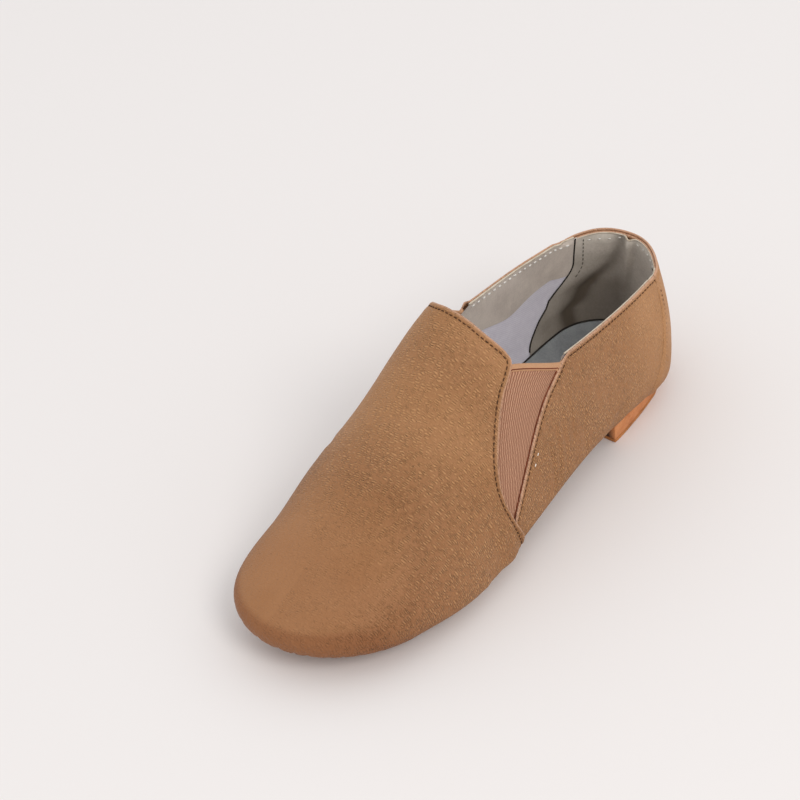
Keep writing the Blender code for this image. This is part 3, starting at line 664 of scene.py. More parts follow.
# Creases that the eye sees from a step away: side, three places (station, turn), width and depth
# in mm. A depth below zero is a swell. The finer ones are in the leather's bump.
creases = (
    (1, (1.90, 0.98), (1.87, 0.74), (1.83, 0.52), 2.2, 0.22),
    (1, (1.83, 0.60), (1.80, 0.40), (1.78, 0.22), 2.4, 0.26),
    (1, (1.76, 0.34), (1.74, 0.14), (1.73, -0.08), 1.8, 0.34),
    (1, (1.79, 0.26), (1.78, 0.06), (1.77, -0.14), 1.8, 0.28),
    (1, (1.71, 0.26), (1.70, 0.08), (1.69, -0.12), 1.7, 0.14),
    (1, (1.60, 0.98), (1.612, 0.86), (1.60, 0.74), 1.7, 0.20),
    (1, (1.575, 0.90), (1.585, 0.80), (1.575, 0.70), 1.6, 0.16),
    (1, (1.560, 0.70), (1.590, 0.64), (1.625, 0.60), 1.5, 0.24),
    (1, (1.570, 0.62), (1.600, 0.57), (1.630, 0.53), 1.5, 0.20),
    (-1, (1.90, 0.96), (1.86, 0.70), (1.82, 0.40), 2.4, 0.26),
    (-1, (1.80, 0.60), (1.77, 0.36), (1.75, 0.10), 2.2, 0.28),
    (-1, (1.60, 0.96), (1.61, 0.80), (1.59, 0.66), 1.7, 0.20),
    (1, (1.47, 0.24), (1.455, 0.12), (1.475, -0.02), 1.2, 0.46),
    (1, (1.50, 0.20), (1.485, 0.08), (1.50, -0.06), 1.2, 0.40),
    (1, (1.44, 0.20), (1.43, 0.10), (1.445, -0.04), 1.2, 0.32),
    (1, (1.405, 0.27), (1.395, 0.16), (1.41, 0.03), 1.3, 0.26),
    (1, (1.36, 0.16), (1.35, 0.04), (1.37, -0.10), 2.2, 0.26),
    (1, (1.30, 0.24), (1.285, 0.12), (1.295, 0.0), 1.8, 0.20),
    (-1, (1.47, 0.24), (1.455, 0.12), (1.475, -0.02), 1.6, 0.32),
    (-1, (1.50, 0.20), (1.485, 0.08), (1.50, -0.06), 1.6, 0.28),
    (1, (1.165, -0.02), (1.215, -0.13), (1.25, -0.30), 3.2, 0.50),
    (1, (1.698, 0.24), (1.694, 0.0), (1.690, -0.24), 5.0, -1.35),
    (1, (1.765, 0.14), (1.760, 0.0), (1.757, -0.14), 2.8, 0.30),
)


def creaseLift(side, station, turn):
    points = lastPoints(side, station, turn)
    total = np.zeros(points.shape[:-1])
    share = np.linspace(0, 1, 25)
    strengths = np.minimum(1, 4 * np.minimum(share, 1 - share) + 0.05)
    for creaseSide, start, middle, end, width, depth in creases:
        path = [(1 - share) ** 2 * a + 2 * share * (1 - share) * b + share ** 2 * c
                for a, b, c in zip(start, middle, end)]
        nearest, strength = np.full(total.shape, 9.0), np.zeros(total.shape)
        for spot, spotStrength in zip(lastPoints(creaseSide, path[0], path[1]), strengths):
            distance = np.linalg.norm(points - spot, axis=-1)
            closer = distance < nearest
            nearest, strength = np.where(closer, distance, nearest), np.where(closer, spotStrength, strength)
        across = nearest / (width * mm)
        banks = 0.35 * bump(across, 1.7, 1) if depth > 0 else 0
        total += depth * mm * strength * (banks - bump(across, 0, 1))
    return total


def joined(first, second, axis):
    # two sides of a piece, each with places, UVs and marks, made one
    def join(a, b):
        return np.concatenate((a, b), axis=axis)
    return join(first[0], second[0]), join(first[1], second[1]), {
        mark: join(first[2][mark], second[2][mark]) for mark in first[2]}


def eachOf(parts, order):
    # the same slice of a side's places, UVs and marks
    return parts[0][order], parts[1][order], {mark: values[order] for mark, values in parts[2].items()}


# Vamp: one skin from the sole on the outer side over the ridge to the sole on the inner side
vamp = {
    "thickness": 1.0 * mm, "stitchAt": 2.0 * mm, "foldReach": 5 * mm, "spacing": 0.85 * mm,
    "lowTurn": -0.90, "rowsPerSide": 116, "straightColumns": 66, "toeColumns": 66,
    "pleatDepthMm": 0.70, "pleatLengthMm": 7.2, "pleatStart": {1: 2.62, -1: 2.2}, "lapRise": 1.6 * mm,
}
print("shaping the vamp")
sampleTurns = np.linspace(vamp["lowTurn"], 1, 400)
sampleLengths = runLengths(lastPoints(1, 1.85, sampleTurns))
vampTurns = np.interp(np.linspace(0, sampleLengths[-1], vamp["rowsPerSide"]), sampleLengths, sampleTurns)


def pleats(side, station, turn):
    # the gathered margin under the toe
    start = vamp["pleatStart"][side]
    gathered = 0.25 + 0.75 * fade(station, start, start + 0.2)
    strength = gathered * fade(station, 2.1, 2.3) * fade(turn, 0, -0.22)
    swing = along(station) * 1000 / vamp["pleatLengthMm"] * 2 * pi * (1 + 0.12 * side)
    wave = np.sin(swing + 0.9 * np.sin(swing * 0.37 + side))
    return -vamp["pleatDepthMm"] * mm * strength * np.clip(wave, 0, 1) ** 2


def vampFlex(side, station, turn):
    # how strongly the leather is lined: the ball and the low outer forefoot most, the toe least
    x = lastPoints(side, station, turn)[..., 0] / mm
    ball = bump(x, 144, 20) * (0.35 + 0.25 * bump(turn, 0.25, 0.35))
    low = 0.75 * bump(turn, 0.02, 0.34) * bump(station, 2.0, 0.42)
    throat = 0.30 * bump(x, 103, 9)
    toe = 0.24 * fade(x, 150, 176) * fade(turn, -0.1, 0.3)
    inner = 0.2 * (side < 0) * fade(turn, 1, 0.65)
    return np.clip(0.58 + ball + low + throat - toe - inner, 0, 1)


def vampPaintedShade(side, station, turn):
    # painted shade: the low edge, the underside and the toe's front are darker, where less light falls
    x = lastPoints(side, station, turn)[..., 0] / mm
    low = fade(turn, -0.02, -0.37) * fade(station, 1.7, 2.2)
    low = low + 0.85 * fade(turn, 0.25, 0.03) * fade(station, 2.15, 2.45)
    return 0.85 * np.clip(low + 0.62 * fade(x, 135, 180), 0, 1)


def lapLift(turn, distance):
    # the stub where the folded vamp laps the quarter, at distances from the vamp's edge
    return vamp["lapRise"] * bump(turn, 0.04, 0.05) * np.clip(1.25 - distance / vamp["stitchAt"], 0, 1)


def makeVampSide(side):
    profile = edgeProfile(vamp)
    edges = vampStation(side, vampTurns)
    near, nearTurns = besideEdge(side, edges, vampTurns, profile[:, 0])
    straightShares = np.linspace(0, 1, vamp["straightColumns"])[1:, None]
    straight = near[-1][None] + (2.0 - near[-1][None]) * straightShares
    toe = 2.0 + np.linspace(0, 1, vamp["toeColumns"])[1:, None] + 0 * near[-1][None]
    stations = np.concatenate((near, straight, toe))
    straightTurns = vampTurns + (nearTurns[-1] - vampTurns)[None] * fade(straightShares, 0.4, 0) ** 2
    turns = np.concatenate((nearTurns, straightTurns, vampTurns + 0 * toe))
    foldLift, edge = padded(profile, len(stations))[..., None]
    lift = lastSizes["vampWall"] + foldLift + creaseLift(side, stations, turns)
    lift = lift + pleats(side, stations, turns) + lapLift(turns, np.abs(stations - edges[None]) * toeCentre)
    marks = {"flex": vampFlex(side, stations, turns), "shade": vampPaintedShade(side, stations, turns),
             "edge": 0.8 * edge + 0 * turns}
    return shell(side, stations, turns, lift), uvAt(side, stations, turns), marks


outerVamp = eachOf(makeVampSide(1), np.s_[:, ::-1])
vampParts = joined(makeVampSide(-1), eachOf(outerVamp, np.s_[:, 1:]), 1)
finishPiece("vampLeather", layGrid(*vampParts), leather, "upper")


# Quarters: from the back seam to the gore's tip, and down under the foot
quarter = {
    "thickness": 0.85 * mm, "stitchAt": 2.0 * mm, "foldReach": 4 * mm, "spacing": 0.85 * mm,
    "columns": 176, "rows": 74, "lowTurn": -1.0, "cornerRise": 1.0 * mm,
}
# where the upper swells out over the heel's edge: the heel's top edge is drawn in there
heelSeatSwell = {"rise": 1.8 * mm, "turn": -0.46, "width": 0.20, "noneAt": 1.16, "fullAt": 1.0}
print("shaping the quarters")


def seatBulge(station, turn):
    swell = heelSeatSwell
    rise = swell["rise"] * bump(turn, swell["turn"], swell["width"])
    return rise * fade(station, swell["noneAt"], swell["fullAt"])


def quarterFlex(station):
    return np.clip(0.50 + 0.40 * fade(station, 1.05, 1.20) + 0.4 * bump(station, 1.45, 0.12), 0, 1)


def makeQuarter(side, name):
    profile = edgeProfile(quarter)
    columnStations = stationsBetween(0, tipStations[side], quarter["columns"])
    counterFront = float(counterStation(side, np.array(0.33)))
    tops = topTurn(side, columnStations) - 0.010 * fade(columnStations, counterFront, counterFront - 0.03)
    ribs = []
    for station, top, slant in zip(columnStations, tops, edgeSlant(side, columnStations, tops)[0]):
        ribTurns = np.linspace(top, quarter["lowTurn"], 240)
        ribs.append(layRib(side, station, ribTurns, profile[:, 0] / slant, quarter["rows"]))
    stations, turns = np.array(ribs).swapaxes(0, 1)
    foldLift, edge = padded(profile, turns.shape[1])
    lift = lastSizes["quarterWall"] + foldLift + creaseLift(side, stations, turns)
    corner = bump(stations, cornerStations[side] - 0.001, 0.010)
    corner = corner * np.clip(1.5 - np.arange(len(foldLift)) / 14, 0, 1)
    lift = lift + seatBulge(stations, turns) + quarter["cornerRise"] * corner
    # the shade mark is painted shade, darker low down where the leather turns under
    marks = {"flex": quarterFlex(stations), "shade": 0.5 * fade(turns, -0.15, -0.55),
             "edge": 0.9 * edge + 0 * turns}
    places = shell(side, stations, turns, lift)
    finishPiece(name, layGrid(places, uvAt(side, stations, turns), marks), leather, "upper")


makeQuarter(1, "quarterOuter")
makeQuarter(-1, "quarterInner")


# Heel counter: over both quarters round the back, and thin at the collar's corner
counter = {"thickness": 0.8 * mm, "stitchAt": 1.9 * mm, "foldReach": 3 * mm, "spacing": 0.85 * mm,
           "columnsPerSide": 46, "rows": 62, "lowTurn": -0.93}
print("shaping the counter")


def makeCounterSide(side):
    profile = edgeProfile(counter)
    shares = np.linspace(0, 1, counter["columnsPerSide"])
    turnList = np.linspace(0.38, counter["lowTurn"], 60)
    front = counterStation(side, turnList)
    ribs = []
    for share in shares:
        line = front * (1 - share)
        ribTurns = np.linspace(float(topTurn(side, np.array([line[0]]))[0]), counter["lowTurn"], 240)
        ribStations = np.interp(-ribTurns, -turnList, line)
        ribs.append(layRib(side, ribStations, ribTurns, profile[:, 0], counter["rows"]))
    stations, turns = np.array(ribs).swapaxes(0, 1)
    foldLift, edge = padded(profile, turns.shape[1])
    fromFront = shares[:, None] * along(front[0])
    step = -0.75 * mm * fade(fromFront, 0.9 * mm, 0) ** 2
    thinned = fade(fromFront, 7 * mm, 0) * fade(turns[:, :1] - turns, 0.14, 0)
    step = step - (0.72 * mm + step) * thinned
    groove = -0.16 * mm * bump(fromFront, 2.2 * mm, 0.7 * mm)
    lift = lastSizes["vampWall"] + foldLift + step + groove + seatBulge(stations, turns)
    # the shade mark is painted shade, darker low down where the leather turns under
    marks = {"flex": 0.35 + 0 * turns, "shade": 0.55 * fade(turns, -0.15, -0.55),
             "edge": 0.9 * edge + 0 * turns}
    return shell(side, stations, turns, lift), uvAt(side, stations, turns), marks


innerCounter = eachOf(makeCounterSide(-1), np.s_[::-1])
counterParts = joined(makeCounterSide(1), eachOf(innerCounter, np.s_[1:]), 0)
finishPiece("counterLeather", layGrid(*counterParts), leather, "upper")


# Elastic gores, tucked under the vamp and the quarters
sides = ((1, "Outer"), (-1, "Inner"))
gore = {"lift": 0.70 * mm, "tuck": 3.5 * mm, "columns": 40, "rows": 90}
print("knitting the gores")


def goreLines(side, shares):
    # the back and front edge of a gore at shares of its height, from its tip
    toCorner = (cornerStations[side] - tipStations[side]) * shares
    backStations = tipStations[side] + toCorner * goreTurns["backShare"]
    frontTurns = goreTurns["tip"] + (goreTurns["corner"][side] - goreTurns["tip"]) * shares
    return backStations, topTurn(side, backStations), vampStation(side, frontTurns), frontTurns


def goreGrid(side, lowShare, highShare, columns, rows, tuck):
    shares = np.linspace(lowShare, highShare, rows)
    backStations, backTurns, frontStations, frontTurns = goreLines(side, shares)
    width = np.maximum(frontStations - backStations, 1e-4)
    margin = tuck / toeCentre / width
    across = -margin[None] + (1 + 2 * margin[None]) * np.linspace(0, 1, columns)[:, None]
    inside = np.clip(across, 0, 1)
    turns = backTurns[None] + (frontTurns - backTurns)[None] * inside
    turns = turns - goreTurns["sag"] * inside * (1 - inside) * np.clip(shares, 0, 1)[None]
    return backStations[None] + width[None] * across, turns


for side, tag in sides:
    stations, turns = goreGrid(side, -0.03, 0.985, gore["columns"], gore["rows"], gore["tuck"])
    places = shell(side, stations, turns, gore["lift"])
    u = np.pad(np.cumsum(np.linalg.norm(np.diff(places, axis=0), axis=-1), axis=0), ((1, 0), (0, 0)))
    v = np.pad(np.cumsum(np.linalg.norm(np.diff(places, axis=1), axis=-1), axis=1), ((0, 0), (1, 0)))
    bm = layGrid(places, np.stack((u - u[-1:] * 0.5, v), axis=-1))
    finishPiece("goreWebbing" + tag, bm, elastic, "gore_" + tag.lower())


def roundedStrip(width, height, steps=5):
    # a closed section with round corners: distance across, lift
    radius = min(width, height) / 2
    found = []
    for centreX, centreY, start in ((width - radius, height - radius, 0), (radius, height - radius, 1),
                                    (radius, radius, 2), (width - radius, radius, 3)):
        for step in range(steps):
            angle = (start + step / (steps - 1)) * pi / 2
            found.append((centreX + radius * cos(angle), centreY + radius * sin(angle)))
    return found + found[:1]


binding = {"thickness": 1.5 * mm, "height": 3.0 * mm, "columns": 40, "overlap": 1.2 * mm, "grooveShare": 0.72,
           "grooveDepth": 0.22 * mm, "edge": 0.40, "flex": 0.2}
bindingLines = {}
for side, tag in sides:
    stations, turns = goreGrid(side, 0.90, 1.0, binding["columns"], 12, binding["overlap"])
    topRow = shell(side, stations[:, -1], turns[:, -1], 0)
    nextRow = shell(side, stations[:, -3], turns[:, -3], 0)
    normals = lastNormals(side, stations[:, -1], turns[:, -1])
    down = unit(nextRow - topRow)
    slant = np.linalg.norm(np.cross(unit(np.gradient(topRow, axis=0)), down), axis=-1, keepdims=True)
    down = down / np.maximum(slant, 0.5)
    section = roundedStrip(binding["height"], binding["thickness"])
    places = np.stack([topRow + down * a + normals * (b - 0.1 * mm) for a, b in section], axis=1)
    level = 0 * places[..., 0]
    uv = np.stack((along(stations[:, :1]) + level, level), axis=-1)
    marks = {"edge": binding["edge"] + level, "flex": binding["flex"] + level, "shade": level}
    bm = layGrid(places, uv, marks)
    bmesh.ops.recalc_face_normals(bm, faces=bm.faces)
    finishPiece("goreBinding" + tag, bm, leather, "gore_binding_" + tag.lower())
    grooveLift = binding["thickness"] - binding["grooveDepth"]
    bindingLines[side] = topRow + down * (binding["height"] * binding["grooveShare"]) + normals * grooveLift


# Linings, seen through the collar
lining = {"cottonLift": 0.25 * mm, "leatherLift": -0.05 * mm, "heelLift": -0.30 * mm, "lowTurn": -0.55,
          "heelRimLift": 0.85 * mm, "heelDrop": 0.016, "notchDepth": 1.25 * mm, "notchPlace": -0.062}
liningLowRows = (  # lower edge of the taupe lining: station, turn
    (0.60, 0.127), (0.90, 0.130), (1.04, 0.147), (1.10, 0.132), (1.16, 0.112), (1.22, 0.130),
    (1.27, 0.155), (1.40, 0.20), (1.60, 0.24),
)
heelLiningRows = (  # front edge of the heel lining: turn, station
    (-0.55, 1.125), (-0.317, 1.103), (-0.200, 1.088), (-0.067, 1.055), (-0.005, 1.010), (0.040, 0.920),
    (0.085, 0.825), (0.127, 0.760), (0.165, 0.722), (0.220, 0.711), (0.300, 0.710), (0.450, 0.709),
)
# the hollow beside the rib in the heel lining: turn, place round the back from the seam
hollowRows = (
    (-0.10, -0.80), (0.073, -0.505), (0.118, -0.401), (0.170, -0.310), (0.247, -0.223), (0.33, -0.17),
)
liningLowAt = smoothCurve(columnOf(liningLowRows, 0), columnOf(liningLowRows, 1))
heelLiningAt = smoothCurve(columnOf(heelLiningRows, 0), columnOf(heelLiningRows, 1))
print("cutting the linings")


def hollowAt(turn):
    return np.interp(turn, columnOf(hollowRows, 0), columnOf(hollowRows, 1))


def makeLining(name, side, stations, highTurns, lowTurns, rows, liftAt, material):
    # a lining between two lines; liftAt gives its lift from the shares down it and the turns
    shares = np.linspace(0, 1, rows)[None]
    turns = highTurns[:, None] + (lowTurns - highTurns)[:, None] * shares
    grid = np.broadcast_to(stations[:, None], turns.shape)
    places = shell(side, grid, turns, liftAt(grid, shares, turns))
    finishPiece(name, layGrid(places, uvAt(side, grid, turns), inward=True), material, "upper")


def cottonLift(stations, shares, turns):
    # the cotton lies behind the heel's lining
    behind = heelLiningAt(np.clip(turns, lining["lowTurn"], 0.45)) - 0.02
    return lining["cottonLift"] + 1.0 * mm * fade(stations, behind, behind - 0.05)


def taupeLift(stations, shares, turns):
    return lining["leatherLift"] + 0.95 * mm * fade(shares, 0.12, 0) ** 2 * fade(stations, 0.92, 0.86)


for side, tag in sides:
    tip, corner = tipStations[side], cornerStations[side]
    stations = np.concatenate((np.linspace(0.55, tip, 90), np.linspace(tip + 0.01, 3, 60)))
    below = 0.004 + 0.030 * fade(stations, corner - 0.004, corner + 0.016) + 0.05 * fade(stations, 1.0, 0.92)
    high = np.where(stations > tip, 1.0, topTurn(side, np.minimum(stations, tip)) - below)
    makeLining("cottonLining" + tag, side, stations, high, np.full(len(stations), lining["lowTurn"]), 46,
               cottonLift, cotton)
    stations = np.linspace(0.68, 1.60, 110)
    high = topTurn(side, stations) - 0.006
    low = np.minimum(liningLowAt(stations), high - 0.01)
    makeLining("quarterLining" + tag, side, stations, high, low, 30, taupeLift, liningLeather)

# cotton under the vamp, from its throat forwards
for side, tag in sides:
    turns = np.interp(np.linspace(0, 1, 40), np.linspace(0, 1, len(vampTurns)), vampTurns)
    turns = turns[turns > goreTurns["tip"]]
    starts = vampStation(side, turns) + 0.4 * mm / toeCentre
    stations = starts[None] + (2.0 - starts[None]) * np.linspace(0, 1, 60)[:, None]
    grid = np.broadcast_to(turns[None], stations.shape)
    places = shell(side, stations, grid, lining["cottonLift"])
    bm = layGrid(places, uvAt(side, stations, grid), inward=True)
    finishPiece("vampLining" + tag, bm, cotton, "upper")


def heelFold(side, station, turn):
    # the loose lining folds down the back: a rib at the seam, hollows beside it, a long soft swell
    place = side * station
    ribAt = -0.061 - 0.51 * (0.314 - turn)
    rib = -1.9 * bump(place, ribAt, 0.050) + 0.35 * bump(place, ribAt + 0.085, 0.035)
    hollow = 0.90 * bump(place, hollowAt(turn), 0.065) - 0.75 * bump(place, hollowAt(turn) - 0.19, 0.12)
    return (rib * fade(turn, -0.10, 0.20) ** 1.5 + hollow * fade(turn, -0.20, 0.10)) * mm


def notchAt(place):
    # where the lining is nicked at the back seam: steep on the inner side, slow on the outer
    centre = lining["notchPlace"]
    return np.where(place < centre, bump(place, centre, 0.034), bump(place, centre, 0.075))


def makeHeelLiningSide(side):
    columns = []
    turnLine = np.linspace(0.42, -0.52, 120)
    for share in np.linspace(0, 1, 50):
        stationLine = heelLiningAt(turnLine) * (1 - share)
        top = float(topTurn(side, np.array([stationLine[0]]))[0]) - lining["heelDrop"]
        ribTurns = top - (top + 0.50) * np.linspace(0, 1, 56) ** 1.25
        columns.append((np.interp(-ribTurns, -turnLine, stationLine), ribTurns))
    stations, turns = np.array(columns).swapaxes(0, 1)
    place, flare = side * stations, fade(turns[:, :1] - turns, 0.05, 0) ** 2
    lift = (lining["heelLift"] + heelFold(side, stations, turns)) * (1 - flare)
    lift = lift + lining["heelRimLift"] * flare - 0.8 * mm * flare * notchAt(place)
    places = shell(side, stations, turns, lift)
    places[..., 2] -= lining["notchDepth"] * notchAt(place) * flare
    # painted shade: darkest low on the inner side and along the fold's hollow, lighter towards the front line
    deep = fade(place, -0.02, -0.27) * fade(turns, 0.26, 0.04)
    deep = deep * (0.6 + 0.4 * fade(heelLiningAt(np.clip(turns, -0.5, 0.4)) - stations, 0, 0.2))
    shade = np.clip(0.68 * deep + 0.42 * bump(place, hollowAt(turns), 0.09), 0, 1)
    return places, uvAt(side, stations, turns), {"shade": shade}


innerHeel = eachOf(makeHeelLiningSide(-1), np.s_[::-1])
heelParts = joined(makeHeelLiningSide(1), eachOf(innerHeel, np.s_[1:]), 0)
finishPiece("heelLining", layGrid(*heelParts, inward=True), heelLeather, "upper")


# Insole, heel, top piece and sole pad
print("laying the sole pieces")


def underGrid(stations, highTurns, rows, lift):
    # a grid over the underside from the inner edge through the middle to the outer edge
    parts = []
    for side in (-1, 1):
        ribs = []
        for station, high in zip(stations, np.broadcast_to(highTurns, stations.shape)):
            ribTurns = np.linspace(high, -1, 120)
            lengths = runLengths(lastPoints(side, station, ribTurns))
            ribs.append(np.interp(np.linspace(0, lengths[-1], rows), lengths, ribTurns))
        turns = np.array(ribs)
        grid = np.broadcast_to(stations[:, None], turns.shape)
        parts.append(shell(side, grid, turns, lift))
    return np.concatenate((parts[0], parts[1][:, ::-1][:, 1:]), axis=1)


insole = {"highTurn": -0.36, "rows": 30, "edgeDrop": 0.8 * mm}
insoleStations = np.concatenate((np.linspace(0, 1, 30), np.linspace(1, 2, 90)[1:], np.linspace(2, 3, 36)[1:]))
insolePlaces = underGrid(insoleStations, insole["highTurn"], insole["rows"],
                         -(lastSizes["gap"] + lastSizes["insole"]))
insolePlaces[:, (0, -1), 2] -= insole["edgeDrop"]
bm = layGrid(insolePlaces, insolePlaces[..., :2], inward=True)
finishPiece("insoleFelt", bm, felt, "insole")


def blockBelow(name, places, underside, taper, material, stands):
    # an extruded block under a laid surface, down to a height worked out for each point
    bm = layGrid(places, places[..., :2])
    middle = sum(vert.co.x for vert in bm.verts) / len(bm.verts)
    made = bmesh.ops.extrude_face_region(bm, geom=bm.faces[:] + bm.edges[:])
    for vert in made["geom"]:
        if isinstance(vert, bmesh.types.BMVert):
            vert.co.x = middle + (vert.co.x - middle) * taper
            vert.co.y *= taper
            vert.co.z = underside(vert.co.x)
    bmesh.ops.recalc_face_normals(bm, faces=bm.faces)
    piece = finishPiece(name, bm, material, stands)
    bevel = piece.modifiers.new("softEdges", "BEVEL")
    bevel.width, bevel.segments, bevel.limit_method, bevel.angle_limit = 0.35 * mm, 2, "ANGLE", radians(50)


sole = {"heelTurn": -0.50, "heelDrawIn": 0.07, "heelRows": 16, "padStart": 1.80, "padTurn": -0.62,
        "padRows": 20}
soleLift = lastSizes["vampWall"] + lastSizes["gap"]
topPieceSeat = lastSizes["topPiece"] + lastSizes["gap"]
breastStation = 1 + lastSizes["heelBreast"] / toeCentre
heelStations = np.concatenate((np.linspace(0, 1, 28), np.linspace(1, breastStation, 16)[1:]))
drawnIn = sole["heelDrawIn"] * fade(heelStations, heelSeatSwell["noneAt"], heelSeatSwell["fullAt"])
heelTop = underGrid(heelStations, sole["heelTurn"] - drawnIn, sole["heelRows"], soleLift)
blockBelow("heelStack", heelTop, lambda x: topPieceSeat, lastSizes["heelTaper"], stackedLeather,
           "heel")
flatTop = heelTop.copy()
flatMiddle = flatTop[..., 0].mean()
flatTop[..., 0] = flatMiddle + (flatTop[..., 0] - flatMiddle) * lastSizes["heelTaper"]
flatTop[..., 1] *= lastSizes["heelTaper"]
flatTop[..., 2] = lastSizes["topPiece"]
blockBelow("heelTopPiece", flatTop, lambda x: 0.0, 1.0, rubber, "heel_top_piece")
padStations = np.concatenate((np.linspace(sole["padStart"], 2, 24), np.linspace(2, 3, 34)[1:]))
blockBelow("soleForepart", underGrid(padStations, sole["padTurn"], sole["padRows"], soleLift),
           lambda x: max(0.0, float(bottomHeight(x)) - ballSeat - 0.2 * mm), 1.0, suede,
           "outsole_forepart")


# Stitches and edge lines: pitch, length, width and height of a stitch, all in mm
seamStitch, counterStitch = (2.2, 1.65, 0.50, 0.36), (2.0, 1.2, 0.34, 0.3)
liningStitch, rimStitch, strayStitch = (3.5, 1.85, 0.95, 0.60), (3.5, 1.3, 0.65, 0.4), (0.4, 0.9, 0.6, 0.5)
cordRadius = {"darkLine": 0.34 * mm, "border": 0.35 * mm, "gore": 0.32 * mm, "groove": 0.26 * mm,
              "lining": 0.42 * mm, "heelLining": 0.40 * mm}
print("stitching")


def stitchRow(name, path, normals, material, stitchMm):
    # one joined mesh of thread loops, laid at equal steps along a line
    pitch, *sizes = (size * mm for size in stitchMm)
    lengths = runLengths(path)
    count = int(lengths[-1] / pitch)
    bm = bmesh.new()
    for index in range(count):
        at = (index + 0.5) * lengths[-1] / count
        spot = Vector([np.interp(at, lengths, path[:, k]) for k in range(3)])
        ahead = Vector([np.interp(at + 0.3 * mm, lengths, path[:, k]) for k in range(3)])
        normal = Vector([np.interp(at, lengths, normals[:, k]) for k in range(3)]).normalized()
        run = (ahead - spot).normalized()
        across = normal.cross(run).normalized()
        axes = (run, across, run.cross(across))
        turnTo = Matrix([axis * size / 2 for axis, size in zip(axes, sizes)]).transposed().to_4x4()
        bmesh.ops.create_uvsphere(bm, u_segments=8, v_segments=5, radius=1.0,
                                  matrix=Matrix.Translation(spot) @ turnTo @ Matrix.Rotation(pi / 2, 4, "Y"))
    bmesh.ops.recalc_face_normals(bm, faces=bm.faces)
    finishPiece(name, bm, material)


def stitchOn(name, side, stations, turns, lift, material, stitchMm, facing=1):
    # a row of stitches on the last's surface; facing -1 looks into the shoe
    stitchRow(name, shell(side, stations, turns, lift), facing * lastNormals(side, stations, turns),
              material, stitchMm)


def tubeAlong(name, path, radius, material, sides=8):
    # a thin cord of leather or thread that follows an edge
    tangents = unit(np.gradient(path, axis=0))
    first = unit(np.cross(tangents, (0.0, 0.0, 1.0)))
    second = np.cross(tangents, first)
    places = np.stack([path + (first * cos(a) + second * sin(a)) * radius
                       for a in np.linspace(0, 2 * pi, sides + 1)], axis=1)
    bm = layGrid(places)
    bmesh.ops.recalc_face_normals(bm, faces=bm.faces)
    finishPiece(name, bm, material)


turnPerMetre = 1 / 0.048  # near the collar's rim
vampRow = vampTurns[vampTurns > -0.30]
for side, tag in sides:
    stitchAt = vamp["stitchAt"]
    grids = besideEdge(side, vampStation(side, vampRow), vampRow, np.array([stitchAt]))
    stations, turns = grids[0][0], grids[1][0]
    lift = lastSizes["vampWall"] - 0.10 * mm + creaseLift(side, stations, turns) + lapLift(turns, stitchAt)
    stitchOn("vampStitches" + tag, side, stations, turns, lift, brownThread, seamStitch)

    stations = stationsBetween(0.80, tipStations[side] - 0.012, 240)
    tops = topTurn(side, stations)
    slant, metresPerTurn = edgeSlant(side, stations, tops)
    turns = tops - quarter["stitchAt"] / (slant * metresPerTurn)
    lift = lastSizes["quarterWall"] - 0.12 * mm + creaseLift(side, stations, turns)
    stitchOn("quarterStitches" + tag, side, stations, turns, lift, brownThread, seamStitch)

    # white stitches on the linings, along the collar
    stations = np.linspace(0.755, cornerStations[side] - 0.01, 120)
    stitchOn("liningStitches" + tag, side, stations, topTurn(side, stations) - 1.25 * mm * turnPerMetre,
             lining["leatherLift"] - 0.12 * mm, whiteThread, liningStitch, -1)
    stations = np.linspace(0.13 if side < 0 else 0.02, 0.60, 60)
    turns = topTurn(side, stations) - lining["heelDrop"] - 1.0 * mm * turnPerMetre
    flared = 0.2 * (lining["heelRimLift"] - lining["heelLift"])
    lift = lining["heelLift"] + heelFold(side, stations, turns) + flared - 0.10 * mm
    stitchOn("heelRimStitches" + tag, side, stations, turns, lift, whiteThread, rimStitch, -1)

    turns = np.linspace(0.285, -0.30, 74)
    stitchOn("counterStitches" + tag, side, counterStation(side, turns) - 0.049, turns,
             lastSizes["vampWall"] - 0.16 * mm, brownThread, counterStitch)

    # the heel lining's dark front line, and the grey row behind it
    turns = np.linspace(0.27 if side > 0 else 0.34, -0.33, 80)
    places = shell(side, heelLiningAt(turns), turns, -0.12 * mm)
    tubeAlong("heelLiningEdge" + tag, places, cordRadius["darkLine"], darkEdge)
    turns = np.linspace(0.335, 0.10, 60)
    stations = heelLiningAt(turns) - 3.9 * mm / (heelRadius * pi / 2)
    lift = lining["heelLift"] + heelFold(side, stations, turns) - 0.10 * mm
    stitchOn("heelLiningStitches" + tag, side, stations, turns, lift, greyThread, seamStitch, -1)

    stations, turns = goreLines(side, np.linspace(0.0, 0.94, 90))[:2]
    stations = stations + 0.35 * mm / toeCentre
    places = shell(side, stations, turns, gore["lift"] + 0.05 * mm)
    tubeAlong("goreSeamShade" + tag, places, cordRadius["gore"], seamBrown)
    # painted shade in the binding's groove
    tubeAlong("bindingGrooveShade" + tag, bindingLines[side], cordRadius["groove"], seamBrown)

# dark lines along both sides of the insole's edge
rim = insolePlaces[8:100]
for row, tag in ((0, "Inner"), (-1, "Outer")):
    tubeAlong("insoleBorder" + tag, rim[:, row] + (0, 0, 0.6 * mm), cordRadius["border"], darkEdge)
# two light thread ends that show in the outer quarter's row
for tag, strayStations, strayTurns in (("Upper", (1.5385, 1.5400, 1.5415), (0.2005, 0.1985, 0.1965)),
                                       ("Lower", (1.5540, 1.5555, 1.5570), (0.1800, 0.1780, 0.1760))):
    stitchOn("strayThread" + tag, 1, np.array(strayStations), np.array(strayTurns), lastSizes["quarterWall"],
             whiteThread, strayStitch)

